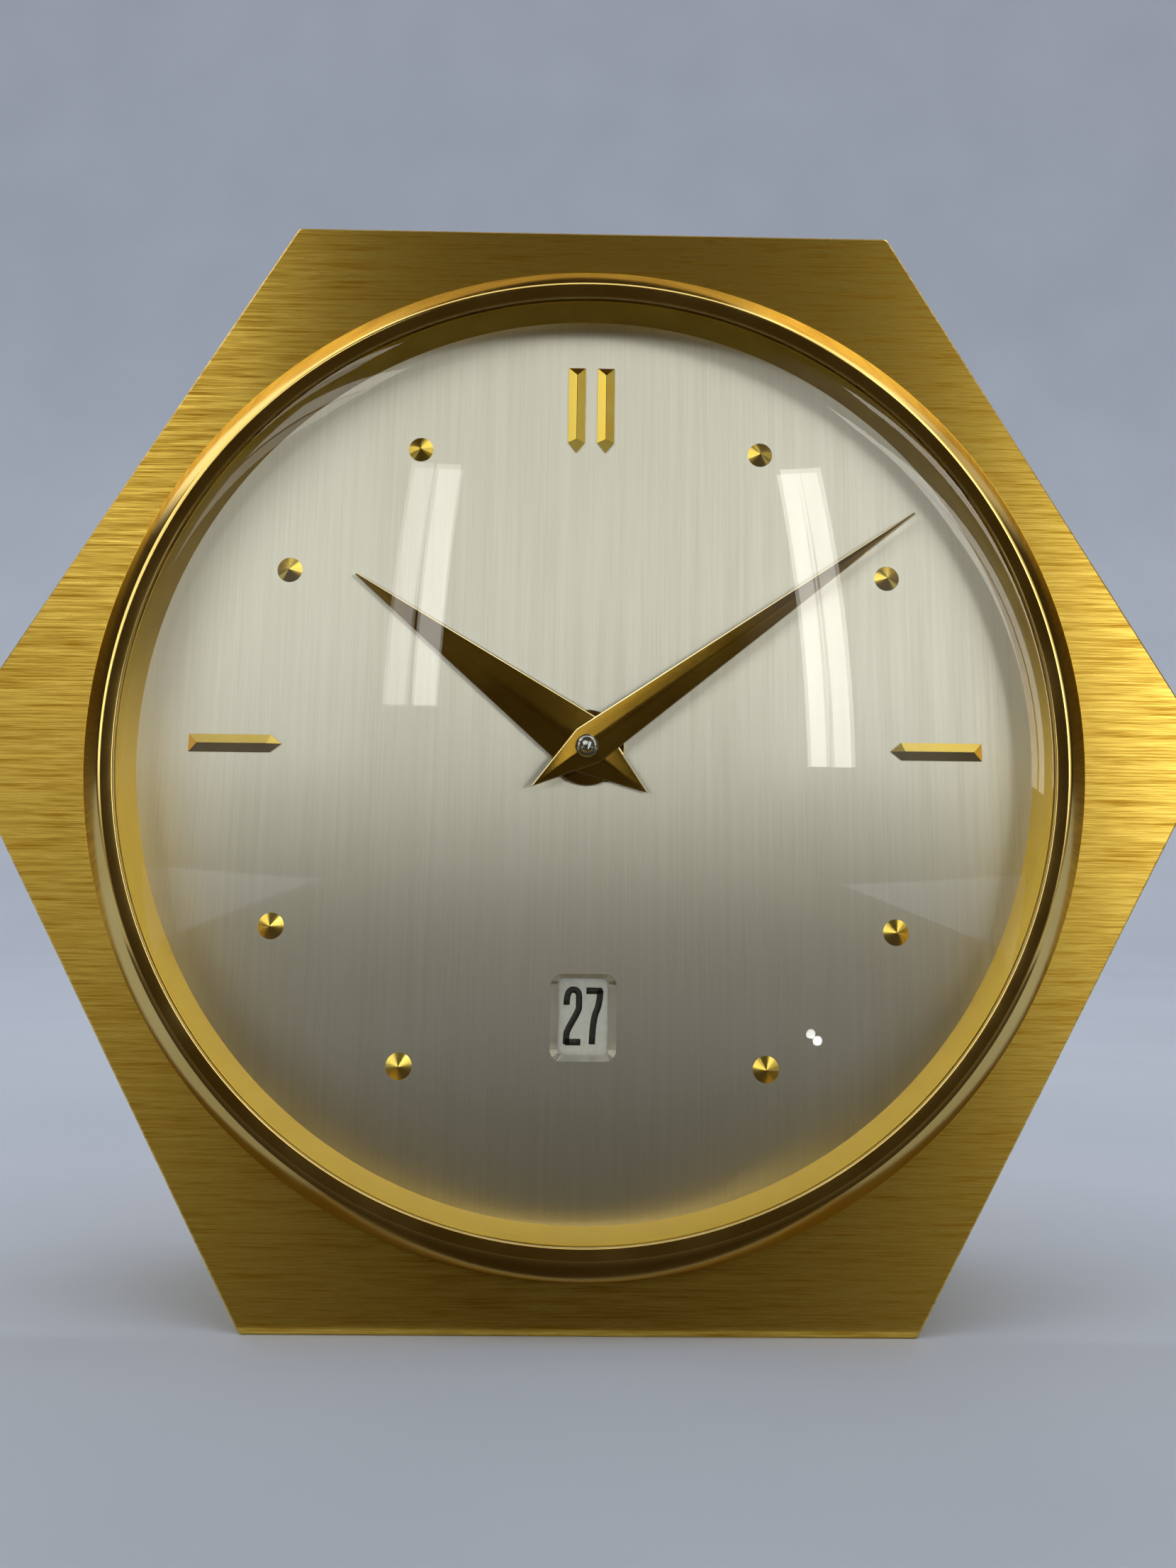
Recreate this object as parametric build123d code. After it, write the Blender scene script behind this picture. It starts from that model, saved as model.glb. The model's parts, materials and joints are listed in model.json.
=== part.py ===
from build123d import *
from math import acos, atan, atan2, cos, degrees, radians, sin
import os

# Hexagonal brass table clock with a date window and an eight-day movement.
# Every function works in the dial's frame: x right, y up, z towards the viewer, with z = 0 on the front
# face of the case and the hands' axis at x = y = 0. stand() sets a finished piece upright: x right,
# y to the back, z up, with the origin in the middle of the face that the clock rests on.

# Fits
RUNNING_CLEARANCE = 0.05
LOOSE_CLEARANCE = 0.1
FREE_CLEARANCE = 0.3
CUT_OVERRUN = 1.0

# Case
ACROSS_FLATS = 88.0
CASE_DEPTH = 32.0
CASE_WALL = 2.5
FACE_PLATE = 3.0
EDGE_BREAK = 0.15
CORNER_RADIUS = 0.5
COVER_THICKNESS = 1.6
COVER_STEP = 1.3
POST_RADIUS = 3.0
POST_WALL_GAP = 0.8
DIAL_MARGIN = 6.1

# Bezel, glass and reflector
BEZEL_OVERLAP = 2.1
BEZEL_SLOPE = 1.7
BEZEL_LIP = 1.1
BEZEL_HEIGHT = 2.6
BEZEL_LIP_DROP = 0.25
SPIGOT_WALL = 0.75
SPIGOT_DEPTH = 4.4
BEZEL_BULGE_SHARES = (0.30, 0.80)
GLASS_FLANGE = 0.95
GLASS_RISE = 5.2
GLASS_THICKNESS = 1.4
GLASS_LIP_GAP = 0.5
REFLECTOR_HEIGHT = 3.65
REFLECTOR_TOP_WALL = 0.5
REFLECTOR_FOOT_WALL = 1.1

# Dial
DIAL_THICKNESS = 0.8
DIAL_DEPTH = 2.6
WINDOW_WIDTH = 4.05
WINDOW_HEIGHT = 5.9
WINDOW_BEVEL_WIDTH = 0.6
WINDOW_BEVEL_HEIGHT = 0.4
WINDOW_CORNER = 0.45
BAR_WIDTH = 1.45
BAR_LENGTH = 7.55
BAR_MARGIN = 5.3
BAR_HEIGHT = 0.62
BAR_POINT = 0.9
BAR_PAIR_SPACING = 2.5
STUD_RADIUS = 1.04
STUD_TIP_RADIUS = 0.12
STUD_HEIGHT = 0.75
STUD_MARGIN = 8.9
RIDGE_SHARE = 0.82

# Time shown at rest
HOURS_SHOWN = 10
MINUTES_SHOWN = 9
HOURS_PER_DAY = 24
STUD_HOURS = (1, 2, 4, 5, 7, 8, 10, 11)

# Hands
HAND_EDGE = 0.14
HAND_RIDGE = 0.32
HAND_TIP_HALF_WIDTH = 0.1
HOUR_TIP_MARGIN = 13.75
HOUR_TAIL = 6.22
HOUR_HALF_WIDTH = 2.46
HOUR_SHOULDER = 0.5
HOUR_HAND_LEAD = 1.5
HOUR_BOSS_RADIUS = 3.1
HOUR_BOSS = 0.25
HOUR_HAND_LIFT = 0.25
MINUTE_TIP_MARGIN = 4.1
MINUTE_TAIL = 5.65
MINUTE_HALF_WIDTH = 1.66
MINUTE_SHOULDER = 0.1
HAND_SPACING = 1.05
PIPE_END = 0.15
PIN_END = 0.12

# Plates
UNDER_DIAL_SPACE = 3.8
PLATE_THICKNESS = 2.0
REAR_SPACE = 6.8
PLATE_MARGIN = 0.9
LUG_WIDTH = 6.4
PILLAR_MARGIN = 3.0
PILLAR_RADIUS = 2.0
PILLAR_SPIGOT_RADIUS = 1.2
PILLAR_DISTANCE = 27.5
PILLAR_COUNT = 4
PILLAR_DIRECTION = 45
SCREW_HEAD = 1.0
SCREW_HEAD_RADIUS = 1.9
SCREW_RADIUS = 0.9
SCREW_GRIP = 3.0
SLOT_WIDTH = 0.45
SLOT_DEPTH = 0.4

# Date ring
DATE_COUNT = 31
DATE_RING_RADIUS = 25.0
DATE_RING_ROOT_RADIUS = 17.6
DATE_TOOTH_HEIGHT = 1.2
DATE_RING_THICKNESS = 0.5
DATE_RING_GAP = 0.2
DATE_LEDGE = 2.0
SEAT_RIM = 3.0
SEAT_WEB = 1.0
GUIDE_WALL = 2.0
JUMPER_DIRECTION = 145
JUMPER_FOOT_DIRECTION = 110
JUMPER_FOOT_DISTANCE = 12.5
JUMPER_FOOT_RADIUS = 1.2
JUMPER_NOSE_RADIUS = 0.4
JUMPER_NOSE_REACH = 0.6
JUMPER_WIDTH = 0.5
JUMPER_THICKNESS = 0.4

# Teeth, as shares of the module: half width at the pitch circle, height above it and depth below it
WHEEL_TOOTH_SHARES = (0.70, 1.15, 1.50)
PINION_TOOTH_SHARES = (0.50, 0.55, 1.50)
WHEEL_THICKNESS = 0.7
PINION_LENGTH = 1.0
RIM_SHARE = 3.4
ARM_WIDTH = 1.1
HUB_WALL = 0.9

# Motion work
CENTRE_ARBOR_RADIUS = 0.55
CANNON_WALL = 0.32
HOUR_PIPE_WALL = 0.55
CANNON_TEETH = 8
CANNON_MODULE = 0.45
MINUTE_WHEEL_TEETH = 24
MINUTE_PINION_TEETH = 8
HOUR_WHEEL_TEETH = 32
HOUR_PINION_TEETH = 12
CALENDAR_TEETH = 24
CALENDAR_MODULE = 0.58
MINUTE_WHEEL_DIRECTION = 200
CALENDAR_DIRECTION = 20
MINUTE_STUD_RADIUS = 0.5
CALENDAR_STUD_RADIUS = 0.8
CALENDAR_PIPE_WALL = 0.75
CANNON_LEVEL_SHARE = 0.2
HOUR_LEVEL_SHARE = 0.45
CALENDAR_LEVEL_SHARE = 0.67
MOTION_WHEEL = 0.5
MOTION_PINION = 0.8
FINGER_WIDTH = 1.0
FINGER_REACH = 0.4
DEGREES_PER_HOUR = 15

# Going train: teeth, modules and directions of the lines of centres
BARREL_TEETH = 48
BARREL_MODULE = 0.5
INTERMEDIATE_PINION_TEETH = 8
INTERMEDIATE_TEETH = 50
INTERMEDIATE_MODULE = 0.4
CENTRE_PINION_TEETH = 10
CENTRE_TEETH = 48
CENTRE_MODULE = 0.36
THIRD_PINION_TEETH = 6
THIRD_TEETH = 45
THIRD_MODULE = 0.32
FOURTH_PINION_TEETH = 6
FOURTH_TEETH = 48
FOURTH_MODULE = 0.28
ESCAPE_PINION_TEETH = 6
ESCAPE_TEETH = 15
BARREL_DISTANCE = 16.5
BARREL_DIRECTION = 180
THIRD_DIRECTION = 30
FOURTH_DIRECTION = -45
ESCAPE_DIRECTION = -100
LEVER_DIRECTION = -130
BALANCE_DIRECTION = -165

# Going train: depths of the wheels behind the main plate, as shares of the gap between the plates
INTERMEDIATE_LEVEL_SHARE = 0.07
CENTRE_LEVEL_SHARE = 0.17
BARREL_LEVEL_SHARE = 0.28
THIRD_LEVEL_SHARE = 0.39
FOURTH_LEVEL_SHARE = 0.56
ESCAPE_LEVEL_SHARE = 0.725
LEVER_LEVEL_SHARE = 0.79
BALANCE_LEVEL_SHARE = 0.875
HAIRSPRING_LEVEL_SHARE = 0.945

# Arbors
END_SHAKE = 0.15
PIVOT_LENGTH = 1.6
TRAIN_ARBOR_RADIUS = 0.4
TRAIN_PIVOT_RADIUS = 0.3
INTERMEDIATE_ARBOR_RADIUS = 0.8
INTERMEDIATE_PIVOT_RADIUS = 0.6
CLUTCH_COLLAR_RADIUS = 1.8
CLUTCH_COLLAR = 0.8
CLUTCH_SPRING_RADIUS = 2.6
CLUTCH_SPRING = 0.5
CLUTCH_LEAF = 0.25

# Barrel and winding
BARREL_FLOOR = 1.0
BARREL_BACK_GAP = 1.4
BARREL_WALL = 0.8
BARREL_COVER = 0.8
BARREL_ARBOR_RADIUS = 1.5
BARREL_HUB_RADIUS = 2.5
MAINSPRING_STRIP = 0.5
MAINSPRING_PITCH = 1.6
MAINSPRING_HALF_TURNS = 9
WINDING_SQUARE = 2.1
RATCHET_TEETH = 20
RATCHET_RADIUS = 6.0
RATCHET_TOOTH = 0.9
RATCHET_THICKNESS = 1.0
RATCHET_GAP = 0.3
CLICK_DIRECTION = 75
CLICK_FOOT_DIRECTION = 40
CLICK_FOOT_DISTANCE = 12.0
CLICK_FOOT_RADIUS = 1.6
CLICK_NOSE_RADIUS = 0.3
CLICK_WIDTH = 0.6
CLICK_NOSE_GAP = 0.05

# Escapement and balance
ESCAPE_RADIUS = 4.5
ESCAPE_TOOTH = 1.2
ESCAPE_THICKNESS = 0.5
ESCAPE_RAKE_SHARE = 0.55
LEVER_DISTANCE = 6.0
LEVER_THICKNESS = 0.6
LEVER_WIDTH = 0.8
LEVER_HUB_RADIUS = 1.0
PALLET_PIN_RADIUS = 0.25
PALLET_PIN_GAP = 0.5
PALLET_PIN_ANGLE = 30
FORK_WIDTH = 2.0
FORK_LENGTH = 1.2
FORK_SLOT = 0.8
FORK_GAP = 0.5
BALANCE_DISTANCE = 8.4
BALANCE_RADIUS = 7.4
BALANCE_RIM = 0.8
BALANCE_THICKNESS = 0.8
BALANCE_HUB_RADIUS = 1.3
BALANCE_STAFF_RADIUS = 0.6
ROLLER_RADIUS = 1.6
ROLLER_THICKNESS = 0.6
ROLLER_LEAD = 0.5
IMPULSE_PIN_RADIUS = 0.25
IMPULSE_PIN_DISTANCE = 1.2
HAIRSPRING_INNER_RADIUS = 1.0
HAIRSPRING_STRIP = 0.16
HAIRSPRING_HEIGHT = 0.4
HAIRSPRING_PITCH = 0.9
HAIRSPRING_HALF_TURNS = 9
HAIRSPRING_STUD_RADIUS = 0.45
BUSH_RADIUS = 1.6
BUSH_PROUD = 0.9
INDEX_THICKNESS = 0.6
INDEX_RING_WALL = 1.0
INDEX_LENGTH = 8.0
INDEX_WIDTH = 1.2
INDEX_PIN_RADIUS = 0.55
INDEX_RANGE = 15
INDEX_DIRECTION = -90

# Key and knob on the back
KEY_NECK_RADIUS = 2.6
KEY_NECK_INSIDE = 2.0
KEY_COLLAR_RADIUS = 3.6
KEY_COLLAR = 2.2
BACK_GAP = 0.6
KEY_PIN_RADIUS = 0.6
KEY_PIN_RISE = 1.9
KEY_TONGUE_WIDTH = 2.4
KEY_KNUCKLE_RADIUS = 1.4
BOW_HALF_WIDTH = 7.6
BOW_LENGTH = 10.0
BOW_THICKNESS = 1.6
BOW_ROOT_HALF_WIDTH = 3.4
BOW_LOBE_RADIUS = 3.6
BOW_HOLE_RADIUS = 1.9
KNOB_RADIUS = 4.6
KNOB_LENGTH = 5.0
KNOB_FLUTES = 24
KNOB_FLUTE_DEPTH = 0.35
KNOB_CAP = 1.0
KNOB_EDGE = 0.5
ARBOR_HOLE_CLEARANCE = 0.5

# Radii that follow from the sizes above
DIAL_RADIUS = ACROSS_FLATS / 2 - DIAL_MARGIN
BEZEL_RADIUS = DIAL_RADIUS + BEZEL_OVERLAP
BEZEL_CREST_RADIUS = BEZEL_RADIUS - BEZEL_SLOPE
BEZEL_LIP_RADIUS = BEZEL_CREST_RADIUS - BEZEL_LIP
REFLECTOR_TOP_RADIUS = DIAL_RADIUS - REFLECTOR_TOP_WALL
REFLECTOR_FOOT_RADIUS = DIAL_RADIUS - REFLECTOR_FOOT_WALL
BAR_INNER_DISTANCE = DIAL_RADIUS - BAR_MARGIN - BAR_LENGTH
STUD_DISTANCE = DIAL_RADIUS - STUD_MARGIN
HOUR_TIP = DIAL_RADIUS - HOUR_TIP_MARGIN
MINUTE_TIP = DIAL_RADIUS - MINUTE_TIP_MARGIN
WINDOW_DISTANCE = (DATE_RING_RADIUS + DATE_RING_ROOT_RADIUS) / 2
MAIN_PLATE_RADIUS = DIAL_RADIUS - PLATE_MARGIN
BACK_PLATE_RADIUS = PILLAR_DISTANCE + PILLAR_MARGIN

# Depths that follow from the sizes above
LOW = (Align.CENTER, Align.CENTER, Align.MIN)
DIAL_FRONT = -DIAL_DEPTH
DIAL_BACK = DIAL_FRONT - DIAL_THICKNESS
PLATE_FRONT = DIAL_BACK - UNDER_DIAL_SPACE
PLATE_BACK = PLATE_FRONT - PLATE_THICKNESS
CASE_BACK = -CASE_DEPTH
BACK_PLATE_BACK = CASE_BACK + REAR_SPACE
BACK_PLATE_FRONT = BACK_PLATE_BACK + PLATE_THICKNESS
PLATE_GAP = PLATE_BACK - BACK_PLATE_FRONT
BARREL_HEIGHT = (1 - BARREL_LEVEL_SHARE) * PLATE_GAP - BARREL_FLOOR / 2 - BARREL_BACK_GAP
COVER_FRONT = CASE_BACK + COVER_THICKNESS
DATE_RING_FRONT = DIAL_BACK - DATE_RING_GAP
DATE_RING_BACK = DATE_RING_FRONT - DATE_RING_THICKNESS
REFLECTOR_TOP = DIAL_FRONT + REFLECTOR_HEIGHT
LIP_UNDERSIDE = REFLECTOR_TOP + GLASS_FLANGE
SEAT_RADIUS = DIAL_RADIUS + RUNNING_CLEARANCE
SPIGOT_RADIUS = SEAT_RADIUS + SPIGOT_WALL
FACE_OPENING_RADIUS = SPIGOT_RADIUS + LOOSE_CLEARANCE
HOUR_HAND_BACK = DIAL_FRONT + HOUR_HAND_LIFT + HOUR_BOSS
HAND_THICKNESS = HAND_EDGE + HAND_RIDGE
MINUTE_HAND_BACK = HOUR_HAND_BACK + HAND_SPACING
CANNON_RADIUS = CENTRE_ARBOR_RADIUS + CANNON_WALL
HOUR_PIPE_RADIUS = CANNON_RADIUS + RUNNING_CLEARANCE + HOUR_PIPE_WALL
CANNON_END = MINUTE_HAND_BACK + HAND_THICKNESS + PIPE_END
HUB_FRONT = CASE_BACK - BACK_GAP
KEY_COLLAR_BACK = HUB_FRONT - KEY_COLLAR
KEY_PIN_DEPTH = KEY_COLLAR_BACK - KEY_PIN_RISE
POST_DISTANCE = (ACROSS_FLATS / 2 - CASE_WALL - POST_RADIUS - POST_WALL_GAP) / cos(radians(30))
CENTRE_HEIGHT = ACROSS_FLATS / 2
FRONT_Y = -CASE_DEPTH / 2


def polar(distance, direction, start=(0, 0)):
    """The point at a distance and direction (degrees, anticlockwise from +x) from another."""
    turn = radians(direction)
    return (start[0] + distance * cos(turn), start[1] + distance * sin(turn))


def heading(start, end):
    """Direction in degrees from one point to another."""
    return degrees(atan2(end[1] - start[1], end[0] - start[0]))


def level(share):
    """A depth behind the main plate, at a share of the gap between the plates."""
    return PLATE_BACK - share * PLATE_GAP


def motion_level(share):
    """A depth before the main plate, at a share of the space under the dial."""
    return PLATE_FRONT + share * UNDER_DIAL_SPACE


# Centre distances and places of the arbors
MOTION_DISTANCE = (MINUTE_WHEEL_TEETH + CANNON_TEETH) * CANNON_MODULE / 2
HOUR_MODULE = 2 * MOTION_DISTANCE / (MINUTE_PINION_TEETH + HOUR_WHEEL_TEETH)
CALENDAR_DISTANCE = (HOUR_PINION_TEETH + CALENDAR_TEETH) * CALENDAR_MODULE / 2
INTERMEDIATE_REACH = (INTERMEDIATE_TEETH + CENTRE_PINION_TEETH) * INTERMEDIATE_MODULE / 2
BARREL_REACH = (BARREL_TEETH + INTERMEDIATE_PINION_TEETH) * BARREL_MODULE / 2
THIRD_REACH = (CENTRE_TEETH + THIRD_PINION_TEETH) * CENTRE_MODULE / 2
FOURTH_REACH = (THIRD_TEETH + FOURTH_PINION_TEETH) * THIRD_MODULE / 2
ESCAPE_REACH = (FOURTH_TEETH + ESCAPE_PINION_TEETH) * FOURTH_MODULE / 2
BARREL_SQUARES = BARREL_DISTANCE**2 + INTERMEDIATE_REACH**2 - BARREL_REACH**2
BARREL_CORNER = degrees(acos(BARREL_SQUARES / (2 * BARREL_DISTANCE * INTERMEDIATE_REACH)))
CENTRE = (0, 0)
BARREL = polar(BARREL_DISTANCE, BARREL_DIRECTION)
INTERMEDIATE = polar(INTERMEDIATE_REACH, BARREL_DIRECTION - BARREL_CORNER)
THIRD = polar(THIRD_REACH, THIRD_DIRECTION)
FOURTH = polar(FOURTH_REACH, FOURTH_DIRECTION, THIRD)
ESCAPE = polar(ESCAPE_REACH, ESCAPE_DIRECTION, FOURTH)
LEVER = polar(LEVER_DISTANCE, LEVER_DIRECTION, ESCAPE)
BALANCE = polar(BALANCE_DISTANCE, BALANCE_DIRECTION, LEVER)
MINUTE_STUD = polar(MOTION_DISTANCE, MINUTE_WHEEL_DIRECTION)
CALENDAR_STUD = polar(CALENDAR_DISTANCE, CALENDAR_DIRECTION)
MINUTE_ANGLE = 360 * MINUTES_SHOWN / 60
HOUR_ANGLE = 30 * (HOURS_SHOWN + MINUTES_SHOWN / 60) + HOUR_HAND_LEAD
HOURS_TO_MIDNIGHT = HOURS_PER_DAY - HOURS_SHOWN - MINUTES_SHOWN / 60
TRAIN_ARBORS = (THIRD, FOURTH, ESCAPE, LEVER)
LUG_DIRECTIONS = (0, 120, 240)
COVER_POST_DIRECTIONS = (60, 180, 300)


def disc(radius, back, front, at=(0, 0)):
    """Round bar along the clock's axis between two depths."""
    return Pos(at[0], at[1], back) * Cylinder(radius, front - back, align=LOW)


def hole(radius, back, front, at=(0, 0)):
    """Tool for a through hole between two depths, with some overrun."""
    return disc(radius, back - CUT_OVERRUN, front + CUT_OVERRUN, at)


def ring(outer, inner, back, front, at=(0, 0)):
    """Flat ring between two depths."""
    return disc(outer, back, front, at) - hole(inner, back, front, at)


def prism(outline, back, front, at=(0, 0)):
    """Flat outline raised between two depths."""
    return Pos(at[0], at[1], back) * extrude(outline, front - back)


def turned(edges):
    """Solid of revolution about the clock's axis from edges drawn as (radius, depth)."""
    return revolve(Rot(90, 0, 0) * make_face(edges), Axis.Z)


def bar(start, end, width):
    """Outline of a straight arm with rounded ends."""
    length = (Vector(*end) - Vector(*start)).length
    middle = ((start[0] + end[0]) / 2, (start[1] + end[1]) / 2)
    return Pos(*middle) * Rot(0, 0, heading(start, end)) * SlotCenterToCenter(length, width)


def faceted(points, back, edge, ridge, half_width):
    """Flat outline with a thin straight edge and a ridged, hipped top."""
    outline = make_face(Polyline(*points, close=True))
    inset = RIDGE_SHARE * half_width
    roof = extrude(outline, ridge, taper=degrees(atan(inset / ridge)))
    return prism(outline, back, back + edge) + Pos(0, 0, back + edge) * roof


def tooth_ring(teeth, module, tooth_shares, start):
    """Outline of a toothed ring with one tooth in the direction given in degrees."""
    half_width, above, below = [share * module for share in tooth_shares]
    pitch_radius = teeth * module / 2
    half_angle = degrees(half_width / pitch_radius)
    root = pitch_radius - below
    corners = (
        (root, -half_angle),
        (pitch_radius, -half_angle),
        (pitch_radius + above, 0),
        (pitch_radius, half_angle),
        (root, half_angle),
    )
    points = []
    for index in range(teeth):
        middle = start + 360 * index / teeth
        points += [polar(radius, middle + turn) for radius, turn in corners]
    return make_face(Polyline(*points, close=True))


def wheel_outline(teeth, module, toward):
    """Wheel with a tooth on the line of centres."""
    return tooth_ring(teeth, module, WHEEL_TOOTH_SHARES, toward)


def pinion_outline(teeth, module, toward):
    """Pinion with a gap on the line of centres."""
    return tooth_ring(teeth, module, PINION_TOOTH_SHARES, toward + 180 / teeth)


def crossed_wheel(teeth, module, toward, bore, depth, thickness, at):
    """Wheel crossed out to a rim, four arms and a hub."""
    rim = teeth * module / 2 - RIM_SHARE * module
    hub = bore + HUB_WALL
    arms = Rectangle(2 * rim, ARM_WIDTH) + Rectangle(ARM_WIDTH, 2 * rim)
    windows = Circle(rim) - Circle(hub) - arms
    outline = wheel_outline(teeth, module, toward) - windows - Circle(bore)
    return prism(outline, depth - thickness / 2, depth + thickness / 2, at)


def leaves(teeth, module, toward, depth, length, at):
    """Pinion leaves around a depth."""
    return prism(pinion_outline(teeth, module, toward), depth - length / 2, depth + length / 2, at)


def arbor(at, radius, pivot_radius):
    """Arbor between the plates with a pivot at each end."""
    front = PLATE_BACK - END_SHAKE
    back = BACK_PLATE_FRONT + END_SHAKE
    return disc(radius, back, front, at) + disc(pivot_radius, back - PIVOT_LENGTH, front + PIVOT_LENGTH, at)


def spiral_strip(inner_radius, pitch, half_turns, strip, back, front, at):
    """Flat spiral spring of half-turn arcs."""
    edges = []
    sides = (-strip / 2, strip / 2)
    for turn in range(half_turns):
        centre = (-pitch / 4 if turn % 2 == 0 else pitch / 4, 0)
        for side in sides:
            radius = inner_radius + turn * pitch / 2 + side
            edges.append(CenterArc(centre, radius, 180 * (turn % 2), 180))
    start = inner_radius - pitch / 4
    last_side = 1 if half_turns % 2 == 0 else -1
    last_centre = pitch / 4 if half_turns % 2 == 0 else -pitch / 4
    end = last_centre + last_side * (inner_radius + (half_turns - 1) * pitch / 2)
    for place in (start, end):
        edges.append(Line((place + sides[0], 0), (place + sides[1], 0)))
    return prism(make_face(edges), back, front, at)


def group(pieces):
    """Separate solids of one node."""
    return Compound([solid for piece in pieces for solid in piece.solids()])


def screw(at, seat, grip, radius, head_radius):
    """Slotted screw whose head lies behind its seat and whose shank runs forward from it."""
    head = disc(head_radius, seat - SCREW_HEAD, seat, at)
    slot = Box(2 * head_radius + CUT_OVERRUN, SLOT_WIDTH, 2 * SLOT_DEPTH)
    return head + disc(radius, seat, seat + grip, at) - Pos(at[0], at[1], seat - SCREW_HEAD) * slot


def hexagon(across):
    """Hexagon with a flat top and bottom."""
    return RegularPolygon(across / 2, 6, major_radius=False)


def case_body():
    """Hexagonal shell with the dial opening, bosses for the movement and posts for the cover."""
    shell = prism(hexagon(ACROSS_FLATS), CASE_BACK, 0)
    shell = fillet(shell.edges().filter_by(Axis.Z), CORNER_RADIUS)
    shell = chamfer(shell.edges().group_by(Axis.Z)[-1], EDGE_BREAK)
    shell -= prism(hexagon(ACROSS_FLATS - 2 * CASE_WALL), CASE_BACK - CUT_OVERRUN, -FACE_PLATE)
    shell -= prism(hexagon(ACROSS_FLATS - 2 * COVER_STEP), CASE_BACK - CUT_OVERRUN, COVER_FRONT)
    shell -= hole(FACE_OPENING_RADIUS, -FACE_PLATE, 0)
    for direction in LUG_DIRECTIONS:
        at = polar(POST_DISTANCE, direction)
        shell += disc(POST_RADIUS, PLATE_FRONT, -FACE_PLATE, at)
        shell -= disc(SCREW_RADIUS, PLATE_FRONT - CUT_OVERRUN, PLATE_BACK + PLATE_THICKNESS + SCREW_GRIP, at)
    for direction in COVER_POST_DIRECTIONS:
        at = polar(POST_DISTANCE, direction)
        shell += disc(POST_RADIUS, COVER_FRONT, -FACE_PLATE, at)
        shell -= disc(SCREW_RADIUS, COVER_FRONT - CUT_OVERRUN, COVER_FRONT + SCREW_GRIP, at)
    return shell


def bezel_ring():
    """Polished ring with a convex top, a lip over the glass and a spigot in the case."""
    lip_top = BEZEL_HEIGHT - BEZEL_LIP_DROP
    across, up = BEZEL_BULGE_SHARES
    bulge = (BEZEL_RADIUS - across * (BEZEL_RADIUS - BEZEL_CREST_RADIUS), up * BEZEL_HEIGHT)
    outer = ThreePointArc((BEZEL_RADIUS, 0), bulge, (BEZEL_CREST_RADIUS, BEZEL_HEIGHT))
    inner = Polyline(
        (BEZEL_CREST_RADIUS, BEZEL_HEIGHT),
        (BEZEL_LIP_RADIUS, lip_top),
        (BEZEL_LIP_RADIUS, LIP_UNDERSIDE),
        (SEAT_RADIUS, LIP_UNDERSIDE),
        (SEAT_RADIUS, -SPIGOT_DEPTH),
        (SPIGOT_RADIUS, -SPIGOT_DEPTH),
        (SPIGOT_RADIUS, 0),
        (BEZEL_RADIUS, 0),
    )
    return turned(outer.edges() + inner.edges())


def glass_dome():
    """Domed glass whose flange is held under the bezel's lip."""
    dome_radius = BEZEL_LIP_RADIUS - GLASS_LIP_GAP
    sphere = (dome_radius**2 + GLASS_RISE**2) / (2 * GLASS_RISE)
    apex = LIP_UNDERSIDE + GLASS_RISE
    middle = apex - sphere
    dome = Pos(0, 0, middle) * Sphere(sphere) & disc(dome_radius, LIP_UNDERSIDE, apex + CUT_OVERRUN)
    flange = disc(DIAL_RADIUS, REFLECTOR_TOP, LIP_UNDERSIDE)
    return flange + dome - Pos(0, 0, middle) * Sphere(sphere - GLASS_THICKNESS)


def reflector_ring():
    """Slightly conical ring between the dial and the glass."""
    return turned(
        Polyline(
            (REFLECTOR_FOOT_RADIUS, DIAL_FRONT),
            (DIAL_RADIUS, DIAL_FRONT),
            (DIAL_RADIUS, REFLECTOR_TOP),
            (REFLECTOR_TOP_RADIUS, REFLECTOR_TOP),
            close=True,
        ).edges()
    )


def dial_plate():
    """Dial with a bevelled date window and a hole for the hour pipe."""
    opening = RectangleRounded(WINDOW_WIDTH, WINDOW_HEIGHT, WINDOW_CORNER)
    mouth = RectangleRounded(
        WINDOW_WIDTH + 2 * WINDOW_BEVEL_WIDTH, WINDOW_HEIGHT + 2 * WINDOW_BEVEL_HEIGHT, 2 * WINDOW_CORNER
    )
    bevel = loft([Pos(0, 0, DIAL_BACK) * opening, Pos(0, 0, DIAL_FRONT) * mouth])
    dial = ring(DIAL_RADIUS, HOUR_PIPE_RADIUS + FREE_CLEARANCE, DIAL_BACK, DIAL_FRONT)
    return dial - Pos(0, -WINDOW_DISTANCE, 0) * bevel


def hour_bar():
    """One applied bar along +y, pointed at its inner end."""
    half = BAR_WIDTH / 2
    shoulder = BAR_INNER_DISTANCE + BAR_POINT
    outer = BAR_INNER_DISTANCE + BAR_LENGTH
    points = ((0, BAR_INNER_DISTANCE), (half, shoulder), (half, outer), (-half, outer), (-half, shoulder))
    return faceted(points, DIAL_FRONT, HAND_EDGE, BAR_HEIGHT - HAND_EDGE, half)


def hour_bars():
    """A pair of bars at twelve and one each at three and nine."""
    pair = [Pos(side * BAR_PAIR_SPACING / 2, 0, 0) * hour_bar() for side in (-1, 1)]
    return group(pair + [Rot(0, 0, turn) * hour_bar() for turn in (-90, 90)])


def hour_studs():
    """Cone studs at the other hours, apart from six."""
    stud = Pos(0, STUD_DISTANCE, DIAL_FRONT) * Cone(STUD_RADIUS, STUD_TIP_RADIUS, STUD_HEIGHT, align=LOW)
    return group([Rot(0, 0, -30 * hour) * stud for hour in STUD_HOURS])


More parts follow.
